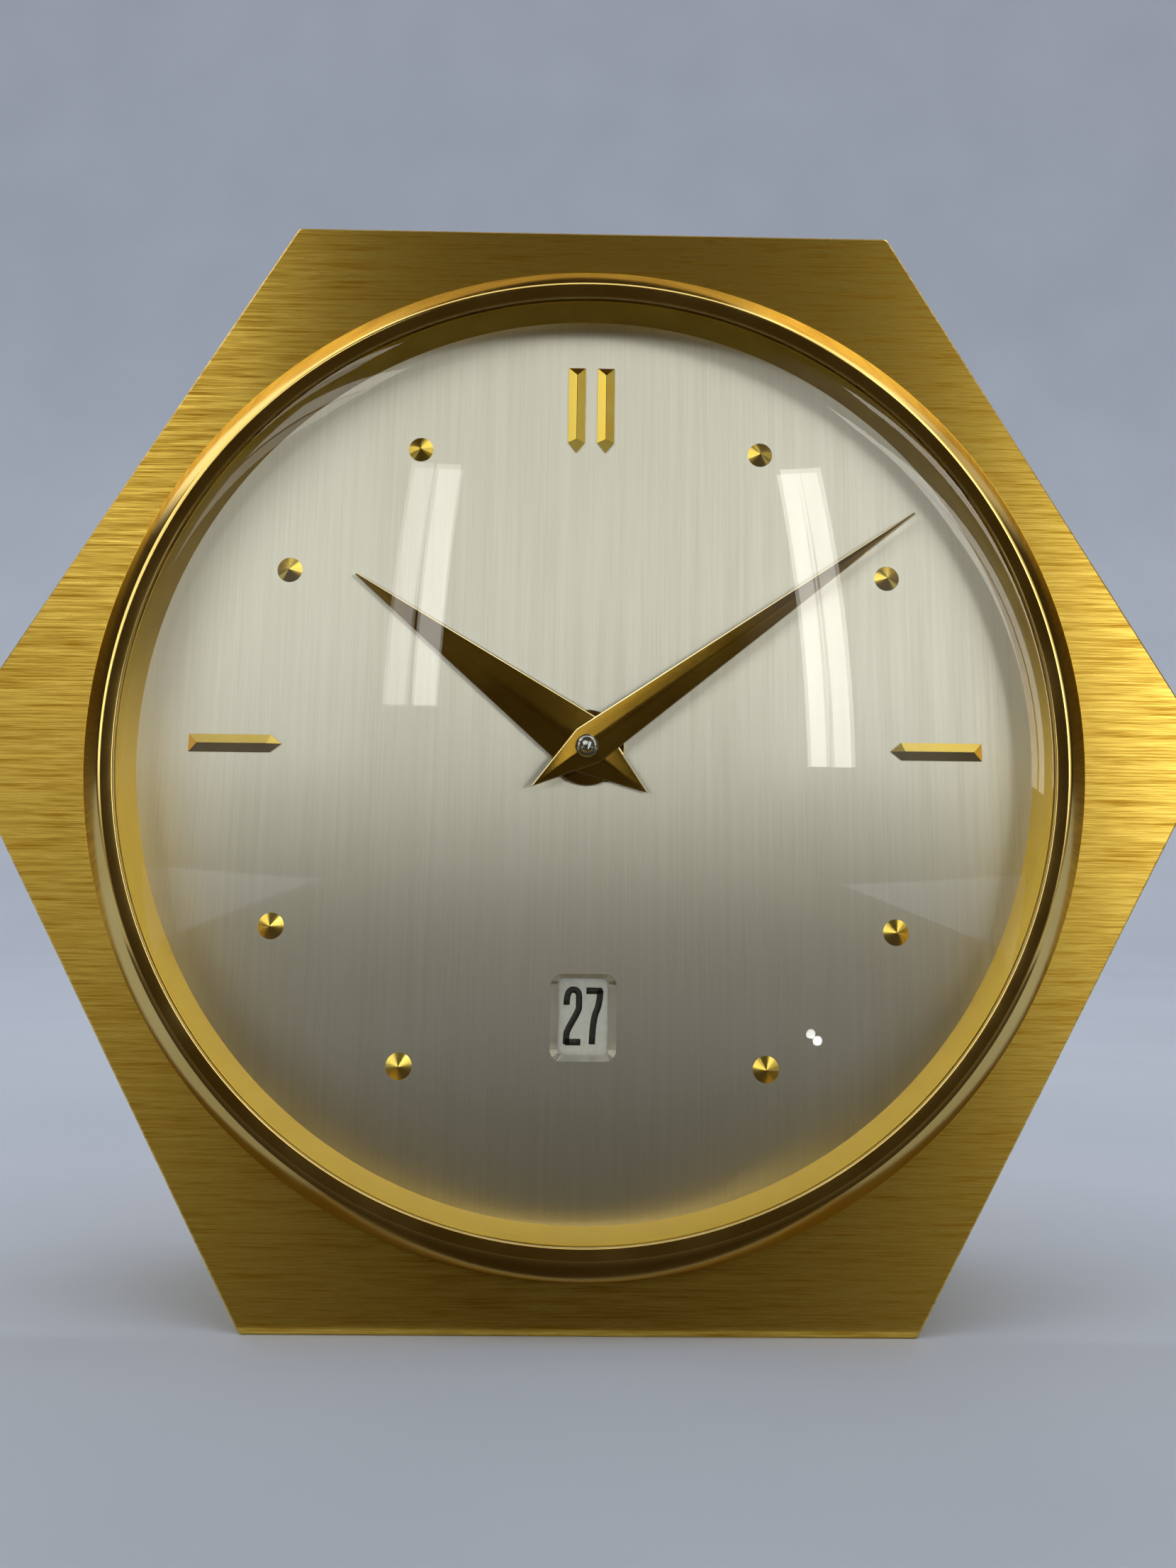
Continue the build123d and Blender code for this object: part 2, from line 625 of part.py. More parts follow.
def dial_seat_ring():
    """Ring that carries the dial and guides the date ring on an inner ledge."""
    guide = DATE_RING_RADIUS + RUNNING_CLEARANCE
    ledge = DATE_RING_RADIUS - DATE_LEDGE
    ledge_top = DATE_RING_BACK - RUNNING_CLEARANCE
    web_top = PLATE_FRONT + SEAT_WEB
    return turned(
        Polyline(
            (DIAL_RADIUS, PLATE_FRONT),
            (DIAL_RADIUS, DIAL_BACK),
            (DIAL_RADIUS - SEAT_RIM, DIAL_BACK),
            (DIAL_RADIUS - SEAT_RIM, web_top),
            (guide + GUIDE_WALL, web_top),
            (guide + GUIDE_WALL, DIAL_BACK),
            (guide, DIAL_BACK),
            (guide, ledge_top),
            (ledge, ledge_top),
            (ledge, PLATE_FRONT),
            close=True,
        ).edges()
    )


def date_ring():
    """Date ring with one inner tooth for each day, a gap of which faces the jumper."""
    tip = DATE_RING_ROOT_RADIUS - DATE_TOOTH_HEIGHT
    points = []
    for index in range(DATE_COUNT):
        direction = JUMPER_DIRECTION + 360 * index / DATE_COUNT
        points.append(polar(DATE_RING_ROOT_RADIUS, direction))
        points.append(polar(tip, direction + 180 / DATE_COUNT))
    outline = Circle(DATE_RING_RADIUS) - make_face(Polyline(*points, close=True))
    return prism(outline, DATE_RING_BACK, DATE_RING_FRONT)


def date_jumper():
    """Spring arm on a foot, with a round nose in a gap of the date ring."""
    foot = polar(JUMPER_FOOT_DISTANCE, JUMPER_FOOT_DIRECTION)
    nose = polar(DATE_RING_ROOT_RADIUS - JUMPER_NOSE_REACH, JUMPER_DIRECTION)
    middle = (DATE_RING_FRONT + DATE_RING_BACK) / 2
    back, front = middle - JUMPER_THICKNESS / 2, middle + JUMPER_THICKNESS / 2
    arm = prism(bar(foot, nose, JUMPER_WIDTH), back, front) + disc(JUMPER_NOSE_RADIUS, back, front, nose)
    return arm + disc(JUMPER_FOOT_RADIUS, PLATE_FRONT, front, foot)


def blade(tip, tail, half_width, shoulder, back):
    """Ridged blade of a hand along +y, whose sides run on past the tip and are cut off there."""
    reach = (tip - shoulder) * half_width / (half_width - HAND_TIP_HALF_WIDTH)
    points = ((0, shoulder + reach), (-half_width, shoulder), (0, -tail), (half_width, shoulder))
    beyond = Box(2 * half_width, reach, 2 * HAND_THICKNESS, align=(Align.CENTER, Align.MIN, Align.CENTER))
    return faceted(points, back, HAND_EDGE, HAND_RIDGE, half_width) - Pos(0, tip, back) * beyond


def hour_hand():
    """Ridged hour hand on a round boss."""
    hand = blade(HOUR_TIP, HOUR_TAIL, HOUR_HALF_WIDTH, HOUR_SHOULDER, HOUR_HAND_BACK)
    boss = disc(HOUR_BOSS_RADIUS, HOUR_HAND_BACK - HOUR_BOSS, HOUR_HAND_BACK)
    hand = hand + boss - hole(HOUR_PIPE_RADIUS, HOUR_HAND_BACK - HOUR_BOSS, HOUR_HAND_BACK + HAND_THICKNESS)
    return Rot(0, 0, -HOUR_ANGLE) * hand


def minute_hand():
    """Ridged minute hand."""
    hand = blade(MINUTE_TIP, MINUTE_TAIL, MINUTE_HALF_WIDTH, MINUTE_SHOULDER, MINUTE_HAND_BACK)
    hand -= hole(CANNON_RADIUS, MINUTE_HAND_BACK, MINUTE_HAND_BACK + HAND_THICKNESS)
    return Rot(0, 0, -MINUTE_ANGLE) * hand


def cannon_pinion():
    """Pinion and pipe on the centre arbor that carry the minute hand."""
    depth = motion_level(CANNON_LEVEL_SHARE)
    pinion = leaves(CANNON_TEETH, CANNON_MODULE, MINUTE_WHEEL_DIRECTION, depth, MOTION_PINION, CENTRE)
    back, front = depth - MOTION_PINION / 2, depth + MOTION_PINION / 2
    return pinion + disc(CANNON_RADIUS, front, CANNON_END) - hole(CENTRE_ARBOR_RADIUS, back, CANNON_END)


def minute_wheel():
    """Wheel driven by the cannon pinion."""
    depth = motion_level(CANNON_LEVEL_SHARE)
    bore = MINUTE_STUD_RADIUS + RUNNING_CLEARANCE
    toward = MINUTE_WHEEL_DIRECTION + 180
    return crossed_wheel(MINUTE_WHEEL_TEETH, CANNON_MODULE, toward, bore, depth, MOTION_WHEEL, MINUTE_STUD)


def minute_pinion():
    """Pinion on the minute wheel."""
    back = motion_level(CANNON_LEVEL_SHARE) + MOTION_WHEEL / 2
    front = motion_level(HOUR_LEVEL_SHARE) + MOTION_PINION / 2
    bore = MINUTE_STUD_RADIUS + RUNNING_CLEARANCE
    outline = pinion_outline(MINUTE_PINION_TEETH, HOUR_MODULE, MINUTE_WHEEL_DIRECTION + 180) - Circle(bore)
    return prism(outline, back, front, MINUTE_STUD)


def hour_wheel():
    """Hour wheel, its pipe through the dial and the pinion that drives the calendar wheel."""
    bore = CANNON_RADIUS + RUNNING_CLEARANCE
    depth = motion_level(HOUR_LEVEL_SHARE)
    wheel = crossed_wheel(
        HOUR_WHEEL_TEETH, HOUR_MODULE, MINUTE_WHEEL_DIRECTION, HOUR_PIPE_RADIUS, depth, MOTION_WHEEL, CENTRE
    )
    back = depth - MOTION_WHEEL / 2
    front = HOUR_HAND_BACK + HAND_THICKNESS + PIPE_END
    pinion = leaves(
        HOUR_PINION_TEETH,
        CALENDAR_MODULE,
        CALENDAR_DIRECTION,
        motion_level(CALENDAR_LEVEL_SHARE),
        MOTION_WHEEL + LOOSE_CLEARANCE,
        CENTRE,
    )
    return wheel + disc(HOUR_PIPE_RADIUS, back, front) + pinion - hole(bore, back, front)


def calendar_wheel():
    """Wheel that turns once a day, on a long pipe."""
    depth = motion_level(CALENDAR_LEVEL_SHARE)
    bore = CALENDAR_STUD_RADIUS + RUNNING_CLEARANCE
    pipe = bore + CALENDAR_PIPE_WALL
    wheel = crossed_wheel(
        CALENDAR_TEETH, CALENDAR_MODULE, CALENDAR_DIRECTION + 180, pipe, depth, MOTION_WHEEL, CALENDAR_STUD
    )
    back, front = PLATE_FRONT + LOOSE_CLEARANCE, depth + MOTION_WHEEL / 2
    return wheel + disc(pipe, back, front, CALENDAR_STUD) - hole(bore, back, front, CALENDAR_STUD)


def date_finger():
    """Finger on the calendar wheel that moves the date ring at midnight."""
    back = motion_level(CALENDAR_LEVEL_SHARE) + MOTION_WHEEL / 2
    bore = CALENDAR_STUD_RADIUS + RUNNING_CLEARANCE
    reach = DATE_RING_ROOT_RADIUS - FINGER_REACH - CALENDAR_DISTANCE
    direction = CALENDAR_DIRECTION - DEGREES_PER_HOUR * HOURS_TO_MIDNIGHT
    tip = polar(reach - FINGER_WIDTH / 2, direction, CALENDAR_STUD)
    hub = disc(bore + CALENDAR_PIPE_WALL, back, DATE_RING_FRONT, CALENDAR_STUD)
    finger = prism(bar(CALENDAR_STUD, tip, FINGER_WIDTH), DATE_RING_BACK, DATE_RING_FRONT)
    return hub + finger - hole(bore, back, DATE_RING_FRONT, CALENDAR_STUD)


def wheel_studs():
    """Studs pressed into the main plate for the minute wheel and the calendar wheel."""
    minute_front = motion_level(HOUR_LEVEL_SHARE) + MOTION_PINION / 2
    minute_stud = disc(MINUTE_STUD_RADIUS, PLATE_BACK, minute_front, MINUTE_STUD)
    return group([minute_stud, disc(CALENDAR_STUD_RADIUS, PLATE_BACK, DATE_RING_FRONT, CALENDAR_STUD)])


def pivot_holes(plate, back, front):
    """Cuts the bearing holes of the train into a plate."""
    for at in TRAIN_ARBORS:
        plate -= hole(TRAIN_PIVOT_RADIUS + RUNNING_CLEARANCE, back, front, at)
    plate -= hole(INTERMEDIATE_PIVOT_RADIUS + RUNNING_CLEARANCE, back, front, INTERMEDIATE)
    plate -= hole(CENTRE_ARBOR_RADIUS + RUNNING_CLEARANCE, back, front)
    return plate - hole(BARREL_ARBOR_RADIUS + RUNNING_CLEARANCE, back, front, BARREL)


def pillar_places():
    """Where the pillars stand."""
    turns = [PILLAR_DIRECTION + 360 * index / PILLAR_COUNT for index in range(PILLAR_COUNT)]
    return [polar(PILLAR_DISTANCE, turn) for turn in turns]


def main_plate():
    """Front plate of the movement, with three lugs that rest on the case's bosses."""
    plate = disc(MAIN_PLATE_RADIUS, PLATE_BACK, PLATE_FRONT)
    for direction in LUG_DIRECTIONS:
        end = polar(POST_DISTANCE, direction)
        plate += prism(bar(CENTRE, end, LUG_WIDTH), PLATE_BACK, PLATE_FRONT)
        plate -= hole(SCREW_RADIUS + LOOSE_CLEARANCE, PLATE_BACK, PLATE_FRONT, end)
    for at in pillar_places():
        plate -= hole(PILLAR_SPIGOT_RADIUS, PLATE_BACK, PLATE_FRONT, at)
    plate -= hole(MINUTE_STUD_RADIUS, PLATE_BACK, PLATE_FRONT, MINUTE_STUD)
    plate -= hole(CALENDAR_STUD_RADIUS, PLATE_BACK, PLATE_FRONT, CALENDAR_STUD)
    plate -= hole(TRAIN_PIVOT_RADIUS + RUNNING_CLEARANCE, PLATE_BACK, PLATE_FRONT, BALANCE)
    return pivot_holes(plate, PLATE_BACK, PLATE_FRONT)


def back_plate():
    """Rear plate of the movement."""
    plate = disc(BACK_PLATE_RADIUS, BACK_PLATE_BACK, BACK_PLATE_FRONT)
    for at in pillar_places():
        plate -= hole(SCREW_RADIUS + LOOSE_CLEARANCE, BACK_PLATE_BACK, BACK_PLATE_FRONT, at)
    plate -= hole(BUSH_RADIUS, BACK_PLATE_BACK, BACK_PLATE_FRONT, BALANCE)
    return pivot_holes(plate, BACK_PLATE_BACK, BACK_PLATE_FRONT)


def plate_pillars():
    """Pillars riveted into the main plate, which the back plate is screwed to."""
    pillars = []
    for at in pillar_places():
        pillar = disc(PILLAR_RADIUS, BACK_PLATE_FRONT, PLATE_BACK, at)
        pillar += disc(PILLAR_SPIGOT_RADIUS, PLATE_BACK, PLATE_FRONT, at)
        pillars.append(pillar - disc(SCREW_RADIUS, BACK_PLATE_FRONT, BACK_PLATE_FRONT + SCREW_GRIP, at))
    return group(pillars)


def pillar_screws():
    """Screws that hold the back plate to the pillars."""
    grip = PLATE_THICKNESS + SCREW_GRIP
    places = pillar_places()
    return group([screw(at, BACK_PLATE_BACK, grip, SCREW_RADIUS, SCREW_HEAD_RADIUS) for at in places])


def movement_screws():
    """Screws that hold the main plate's lugs to the case."""
    grip = PLATE_THICKNESS + SCREW_GRIP
    places = [polar(POST_DISTANCE, direction) for direction in LUG_DIRECTIONS]
    return group([screw(at, PLATE_BACK, grip, SCREW_RADIUS, SCREW_HEAD_RADIUS) for at in places])


def centre_arbor():
    """Arbor through the whole clock, with the collar that the clutch spring presses on."""
    collar_front = level(CENTRE_LEVEL_SHARE) - WHEEL_THICKNESS / 2 - CLUTCH_SPRING
    back = HUB_FRONT - KNOB_LENGTH + KNOB_CAP
    return disc(CENTRE_ARBOR_RADIUS, back, CANNON_END + PIN_END) + disc(
        CLUTCH_COLLAR_RADIUS, collar_front - CLUTCH_COLLAR, collar_front
    )


def clutch_spring():
    """Dished washer that lets the hands slip on the train when they are set."""
    front = level(CENTRE_LEVEL_SHARE) - WHEEL_THICKNESS / 2
    back = front - CLUTCH_SPRING
    washer = turned(
        Polyline(
            (CENTRE_ARBOR_RADIUS, back),
            (CLUTCH_COLLAR_RADIUS, back),
            (CLUTCH_SPRING_RADIUS, front - CLUTCH_LEAF),
            (CLUTCH_SPRING_RADIUS, front),
            (CENTRE_ARBOR_RADIUS, back + CLUTCH_LEAF),
            close=True,
        ).edges()
    )
    return washer


def centre_pinion():
    """Pinion and pipe that the intermediate wheel drives, loose on the centre arbor."""
    bore = CENTRE_ARBOR_RADIUS + RUNNING_CLEARANCE
    back = level(CENTRE_LEVEL_SHARE) - WHEEL_THICKNESS / 2
    front = PLATE_BACK - END_SHAKE
    pipe = CENTRE_PINION_TEETH * INTERMEDIATE_MODULE / 2 - PINION_TOOTH_SHARES[2] * INTERMEDIATE_MODULE
    pinion = leaves(
        CENTRE_PINION_TEETH,
        INTERMEDIATE_MODULE,
        heading(CENTRE, INTERMEDIATE),
        level(INTERMEDIATE_LEVEL_SHARE),
        PINION_LENGTH,
        CENTRE,
    )
    return pinion + disc(pipe, back, front) - hole(bore, back, front)


def centre_wheel():
    """Wheel riveted on the centre pinion's pipe."""
    pipe = CENTRE_PINION_TEETH * INTERMEDIATE_MODULE / 2 - PINION_TOOTH_SHARES[2] * INTERMEDIATE_MODULE
    return crossed_wheel(
        CENTRE_TEETH, CENTRE_MODULE, THIRD_DIRECTION, pipe, level(CENTRE_LEVEL_SHARE), WHEEL_THICKNESS, CENTRE
    )


def intermediate_arbor():
    """Arbor with the pinion that the barrel drives."""
    pinion = leaves(
        INTERMEDIATE_PINION_TEETH,
        BARREL_MODULE,
        heading(INTERMEDIATE, BARREL),
        level(BARREL_LEVEL_SHARE),
        BARREL_FLOOR + 2 * LOOSE_CLEARANCE,
        INTERMEDIATE,
    )
    return pinion + arbor(INTERMEDIATE, INTERMEDIATE_ARBOR_RADIUS, INTERMEDIATE_PIVOT_RADIUS)


def intermediate_wheel():
    """Wheel between the barrel and the centre pinion."""
    return crossed_wheel(
        INTERMEDIATE_TEETH,
        INTERMEDIATE_MODULE,
        heading(INTERMEDIATE, CENTRE),
        INTERMEDIATE_ARBOR_RADIUS,
        level(INTERMEDIATE_LEVEL_SHARE),
        WHEEL_THICKNESS,
        INTERMEDIATE,
    )


def train_arbor(at, driver, teeth, module, share):
    """Fast arbor of the train with its driven pinion."""
    pinion = leaves(teeth, module, heading(at, driver), level(share), PINION_LENGTH, at)
    return pinion + arbor(at, TRAIN_ARBOR_RADIUS, TRAIN_PIVOT_RADIUS)


def train_wheel(at, driven, teeth, module, share):
    """Crossed wheel on a fast arbor of the train."""
    toward = heading(at, driven)
    return crossed_wheel(teeth, module, toward, TRAIN_ARBOR_RADIUS, level(share), WHEEL_THICKNESS, at)


def escape_wheel():
    """Wheel of slanted, pointed teeth."""
    points = []
    for index in range(ESCAPE_TEETH):
        pitch = 360 / ESCAPE_TEETH
        points.append(polar(ESCAPE_RADIUS, index * pitch))
        points.append(polar(ESCAPE_RADIUS - ESCAPE_TOOTH, index * pitch + ESCAPE_RAKE_SHARE * pitch))
    outline = make_face(Polyline(*points, close=True)) - Circle(TRAIN_ARBOR_RADIUS)
    depth = level(ESCAPE_LEVEL_SHARE)
    return prism(outline, depth - ESCAPE_THICKNESS / 2, depth + ESCAPE_THICKNESS / 2, ESCAPE)


def pallet_places():
    """Where the two pallet pins stand, clear of the escape teeth."""
    reach = ESCAPE_RADIUS + PALLET_PIN_RADIUS + PALLET_PIN_GAP
    return [polar(reach, LEVER_DIRECTION + side * PALLET_PIN_ANGLE, ESCAPE) for side in (-1, 1)]


def pallet_lever():
    """Lever with two pallet arms and a fork for the impulse pin."""
    back = level(LEVER_LEVEL_SHARE) - LEVER_THICKNESS / 2
    front = back + LEVER_THICKNESS
    reach = BALANCE_DISTANCE - IMPULSE_PIN_DISTANCE - IMPULSE_PIN_RADIUS - FORK_GAP
    neck = polar(reach - FORK_LENGTH, BALANCE_DIRECTION, LEVER)
    fork = Rectangle(FORK_LENGTH, FORK_WIDTH) - Pos(LEVER_WIDTH / 2, 0) * Rectangle(FORK_LENGTH, FORK_SLOT)
    middle = polar(reach - FORK_LENGTH / 2, BALANCE_DIRECTION, LEVER)
    outline = bar(LEVER, neck, LEVER_WIDTH) + Pos(*LEVER) * Circle(LEVER_HUB_RADIUS)
    outline += Pos(*middle) * Rot(0, 0, BALANCE_DIRECTION) * fork
    for pin in pallet_places():
        outline += bar(LEVER, pin, LEVER_WIDTH)
    return prism(outline, back, front) - hole(TRAIN_ARBOR_RADIUS, back, front, LEVER)


def pallet_pins():
    """Steel pins that stand forward from the lever's arms."""
    back = level(LEVER_LEVEL_SHARE) + LEVER_THICKNESS / 2
    front = level(ESCAPE_LEVEL_SHARE) + ESCAPE_THICKNESS
    return group([disc(PALLET_PIN_RADIUS, back, front, at) for at in pallet_places()])


def balance_staff():
    """Staff of the balance between the main plate and the bush in the back plate."""
    return arbor(BALANCE, BALANCE_STAFF_RADIUS, TRAIN_PIVOT_RADIUS)


def balance_wheel():
    """Balance with a rim, two arms and a hub."""
    inner = BALANCE_RADIUS - BALANCE_RIM
    rim = Circle(BALANCE_RADIUS) - Circle(inner)
    outline = rim + Rectangle(2 * inner, ARM_WIDTH) + Circle(BALANCE_HUB_RADIUS) - Circle(BALANCE_STAFF_RADIUS)
    depth = level(BALANCE_LEVEL_SHARE)
    return prism(outline, depth - BALANCE_THICKNESS / 2, depth + BALANCE_THICKNESS / 2, BALANCE)


def impulse_roller():
    """Roller on the staff with the impulse pin that enters the lever's fork."""
    back = level(LEVER_LEVEL_SHARE) + ROLLER_LEAD
    front = back + ROLLER_THICKNESS
    pin_at = polar(IMPULSE_PIN_DISTANCE, BALANCE_DIRECTION + 180, BALANCE)
    pin = disc(IMPULSE_PIN_RADIUS, level(LEVER_LEVEL_SHARE) - LEVER_THICKNESS / 2, back, pin_at)
    return ring(ROLLER_RADIUS, BALANCE_STAFF_RADIUS, back, front, BALANCE) + pin


def hairspring():
    """Flat spiral spring around the staff, held at its outer end by a stud in the back plate."""
    back = level(HAIRSPRING_LEVEL_SHARE) - HAIRSPRING_HEIGHT / 2
    front = back + HAIRSPRING_HEIGHT
    spiral = spiral_strip(
        HAIRSPRING_INNER_RADIUS,
        HAIRSPRING_PITCH,
        HAIRSPRING_HALF_TURNS,
        HAIRSPRING_STRIP,
        back,
        front,
        BALANCE,
    )
    outer = HAIRSPRING_INNER_RADIUS + (2 * HAIRSPRING_HALF_TURNS - 1) * HAIRSPRING_PITCH / 4
    return spiral + disc(HAIRSPRING_STUD_RADIUS, BACK_PLATE_FRONT, front, (BALANCE[0] - outer, BALANCE[1]))


def balance_bush():
    """Bearing of the balance in the back plate, proud at the rear for the index to turn on."""
    back = BACK_PLATE_BACK - BUSH_PROUD
    bore = TRAIN_PIVOT_RADIUS + RUNNING_CLEARANCE
    bush = disc(BUSH_RADIUS, back, BACK_PLATE_FRONT, BALANCE)
    return bush - disc(bore, BACK_PLATE_BACK, BACK_PLATE_FRONT + CUT_OVERRUN, BALANCE)


def regulator_index():
    """Arm that turns on the bush, with a pin in the cover's slot."""
    back = BACK_PLATE_BACK - LOOSE_CLEARANCE - INDEX_THICKNESS
    front = back + INDEX_THICKNESS
    bore = BUSH_RADIUS + RUNNING_CLEARANCE
    end = polar(INDEX_LENGTH, INDEX_DIRECTION, BALANCE)
    arm = prism(bar(BALANCE, end, INDEX_WIDTH), back, front) + disc(INDEX_PIN_RADIUS, CASE_BACK, front, end)
    return arm + disc(bore + INDEX_RING_WALL, back, front, BALANCE) - hole(bore, back, front, BALANCE)


def barrel_drum():
    """Toothed drum that holds the mainspring."""
    front = level(BARREL_LEVEL_SHARE) + BARREL_FLOOR / 2
    back = front - BARREL_FLOOR
    root = BARREL_TEETH * BARREL_MODULE / 2 - WHEEL_TOOTH_SHARES[2] * BARREL_MODULE
    teeth = wheel_outline(BARREL_TEETH, BARREL_MODULE, heading(BARREL, INTERMEDIATE))
    floor = prism(teeth, back, front, BARREL)
    wall = ring(root, root - BARREL_WALL, back - BARREL_HEIGHT, back, BARREL)
    return floor + wall - hole(BARREL_ARBOR_RADIUS + RUNNING_CLEARANCE, back, front, BARREL)


def barrel_depths():
    """Inner radius of the drum and the depths of its open end and of its floor."""
    floor = level(BARREL_LEVEL_SHARE) - BARREL_FLOOR / 2
    root = BARREL_TEETH * BARREL_MODULE / 2 - WHEEL_TOOTH_SHARES[2] * BARREL_MODULE
    return root - BARREL_WALL, floor - BARREL_HEIGHT, floor


def barrel_cover():
    """Disc that closes the drum."""
    radius, back, _ = barrel_depths()
    return ring(radius, BARREL_ARBOR_RADIUS + RUNNING_CLEARANCE, back, back + BARREL_COVER, BARREL)


def mainspring():
    """Spiral spring between the arbor's hub and the drum."""
    _, back, floor = barrel_depths()
    inner = BARREL_HUB_RADIUS + MAINSPRING_STRIP + MAINSPRING_PITCH / 4
    return spiral_strip(
        inner,
        MAINSPRING_PITCH,
        MAINSPRING_HALF_TURNS,
        MAINSPRING_STRIP,
        back + BARREL_COVER + FREE_CLEARANCE,
        floor - FREE_CLEARANCE,
        BARREL,
    )


def barrel_arbor():
    """Arbor of the barrel with the spring hub and a square for the ratchet and the key."""
    _, back, floor = barrel_depths()
    hub_back, hub_front = back + BARREL_COVER + LOOSE_CLEARANCE, floor - LOOSE_CLEARANCE
    square = prism(Rectangle(WINDING_SQUARE, WINDING_SQUARE), KEY_COLLAR_BACK, BACK_PLATE_BACK, BARREL)
    shaft = disc(BARREL_ARBOR_RADIUS, BACK_PLATE_BACK, PLATE_BACK + PIVOT_LENGTH, BARREL)
    return shaft + disc(BARREL_HUB_RADIUS, hub_back, hub_front, BARREL) + square


def ratchet_wheel():
    """Saw-toothed wheel on the winding square behind the back plate."""
    points = []
    pitch = 360 / RATCHET_TEETH
    for index in range(RATCHET_TEETH):
        turn = CLICK_DIRECTION + index * pitch
        points.append(polar(RATCHET_RADIUS - RATCHET_TOOTH, turn))
        points.append(polar(RATCHET_RADIUS, turn))
    outline = make_face(Polyline(*points, close=True)) - Rectangle(WINDING_SQUARE, WINDING_SQUARE)
    front = BACK_PLATE_BACK - RATCHET_GAP
    return prism(outline, front - RATCHET_THICKNESS, front, BARREL)


def click_spring():
    """Sprung click in one piece, with its foot on the back plate and its nose at the ratchet's teeth."""
    front = BACK_PLATE_BACK - RATCHET_GAP
    back = front - RATCHET_THICKNESS
    foot = polar(CLICK_FOOT_DISTANCE, CLICK_FOOT_DIRECTION, BARREL)
    nose = polar(RATCHET_RADIUS + CLICK_NOSE_RADIUS + CLICK_NOSE_GAP, CLICK_DIRECTION, BARREL)
    blade = prism(bar(foot, nose, CLICK_WIDTH), back, front)
    return blade + disc(CLICK_FOOT_RADIUS, back, BACK_PLATE_BACK, foot)


def back_cover():
    """Hexagonal cover with openings for the key, the knob's arbor and the regulator pin."""
    across = ACROSS_FLATS - 2 * COVER_STEP - 2 * LOOSE_CLEARANCE
    cover = prism(hexagon(across), CASE_BACK, COVER_FRONT)
    cover -= hole(KEY_NECK_RADIUS + FREE_CLEARANCE, CASE_BACK, COVER_FRONT, BARREL)
    cover -= hole(CENTRE_ARBOR_RADIUS + ARBOR_HOLE_CLEARANCE, CASE_BACK, COVER_FRONT)
    slot = SlotArc(
        CenterArc(BALANCE, INDEX_LENGTH, INDEX_DIRECTION - INDEX_RANGE, 2 * INDEX_RANGE),
        2 * (INDEX_PIN_RADIUS + FREE_CLEARANCE),
    )
    cover -= prism(slot, CASE_BACK - CUT_OVERRUN, COVER_FRONT + CUT_OVERRUN)
    for direction in COVER_POST_DIRECTIONS:
        cover -= hole(SCREW_RADIUS + LOOSE_CLEARANCE, CASE_BACK, COVER_FRONT, polar(POST_DISTANCE, direction))
    return cover


def cover_screws():
    """Screws that hold the cover to the case's posts."""
    grip = COVER_THICKNESS + SCREW_GRIP
    places = [polar(POST_DISTANCE, direction) for direction in COVER_POST_DIRECTIONS]
    return group([screw(at, CASE_BACK, grip, SCREW_RADIUS, SCREW_HEAD_RADIUS) for at in places])


def winding_key_hub():
    """Hub on the winding square, with a tongue for the folding bow."""
    inside = COVER_FRONT + KEY_NECK_INSIDE
    hub = disc(KEY_NECK_RADIUS, HUB_FRONT, inside, BARREL)
    hub += disc(KEY_COLLAR_RADIUS, KEY_COLLAR_BACK, HUB_FRONT, BARREL)
    tongue = Box(KEY_TONGUE_WIDTH, 2 * KEY_KNUCKLE_RADIUS, KEY_PIN_RISE, align=LOW)
    hub += Pos(BARREL[0], BARREL[1], KEY_PIN_DEPTH) * tongue
    hub += key_bar(KEY_KNUCKLE_RADIUS, KEY_TONGUE_WIDTH)
    hub -= key_bar(KEY_PIN_RADIUS, KEY_TONGUE_WIDTH + CUT_OVERRUN)
    square = Rectangle(WINDING_SQUARE, WINDING_SQUARE)
    return hub - prism(square, KEY_COLLAR_BACK, inside + CUT_OVERRUN, BARREL)


def key_bar(radius, length):
    """Round bar along the axis that the bow folds about."""
    return Pos(BARREL[0], BARREL[1], KEY_PIN_DEPTH) * Rot(0, 90, 0) * Cylinder(radius, length)


def key_hinge_pin():
    """Pin through the hub's tongue and the bow's knuckles."""
    return key_bar(KEY_PIN_RADIUS, 2 * BOW_ROOT_HALF_WIDTH)


def winding_key_bow():
    """Bow of two pierced lobes, folded down flat against the back."""
    notch = KEY_TONGUE_WIDTH + 2 * LOOSE_CLEARANCE
    lobe = BOW_HALF_WIDTH - BOW_LOBE_RADIUS
    far = BOW_LENGTH - BOW_LOBE_RADIUS
    root = Rectangle(2 * BOW_ROOT_HALF_WIDTH, far, align=(Align.CENTER, Align.MAX))
    outline = root + Pos(lobe, -far) * Circle(BOW_LOBE_RADIUS) + Pos(-lobe, -far) * Circle(BOW_LOBE_RADIUS)
    for side in (-lobe, lobe):
        outline -= Pos(side, -far) * Circle(BOW_HOLE_RADIUS)
    outline -= Rectangle(notch, 2 * (KEY_KNUCKLE_RADIUS + FREE_CLEARANCE))
    half = BOW_THICKNESS / 2
    bow = prism(outline, KEY_PIN_DEPTH - half, KEY_PIN_DEPTH + half, BARREL)
    gap = Pos(BARREL[0], BARREL[1], KEY_PIN_DEPTH) * Box(notch, BOW_LENGTH, BOW_LENGTH)
    knuckles = key_bar(KEY_KNUCKLE_RADIUS, 2 * BOW_ROOT_HALF_WIDTH) - gap
    return bow + knuckles - key_bar(KEY_PIN_RADIUS + RUNNING_CLEARANCE, 2 * BOW_HALF_WIDTH)


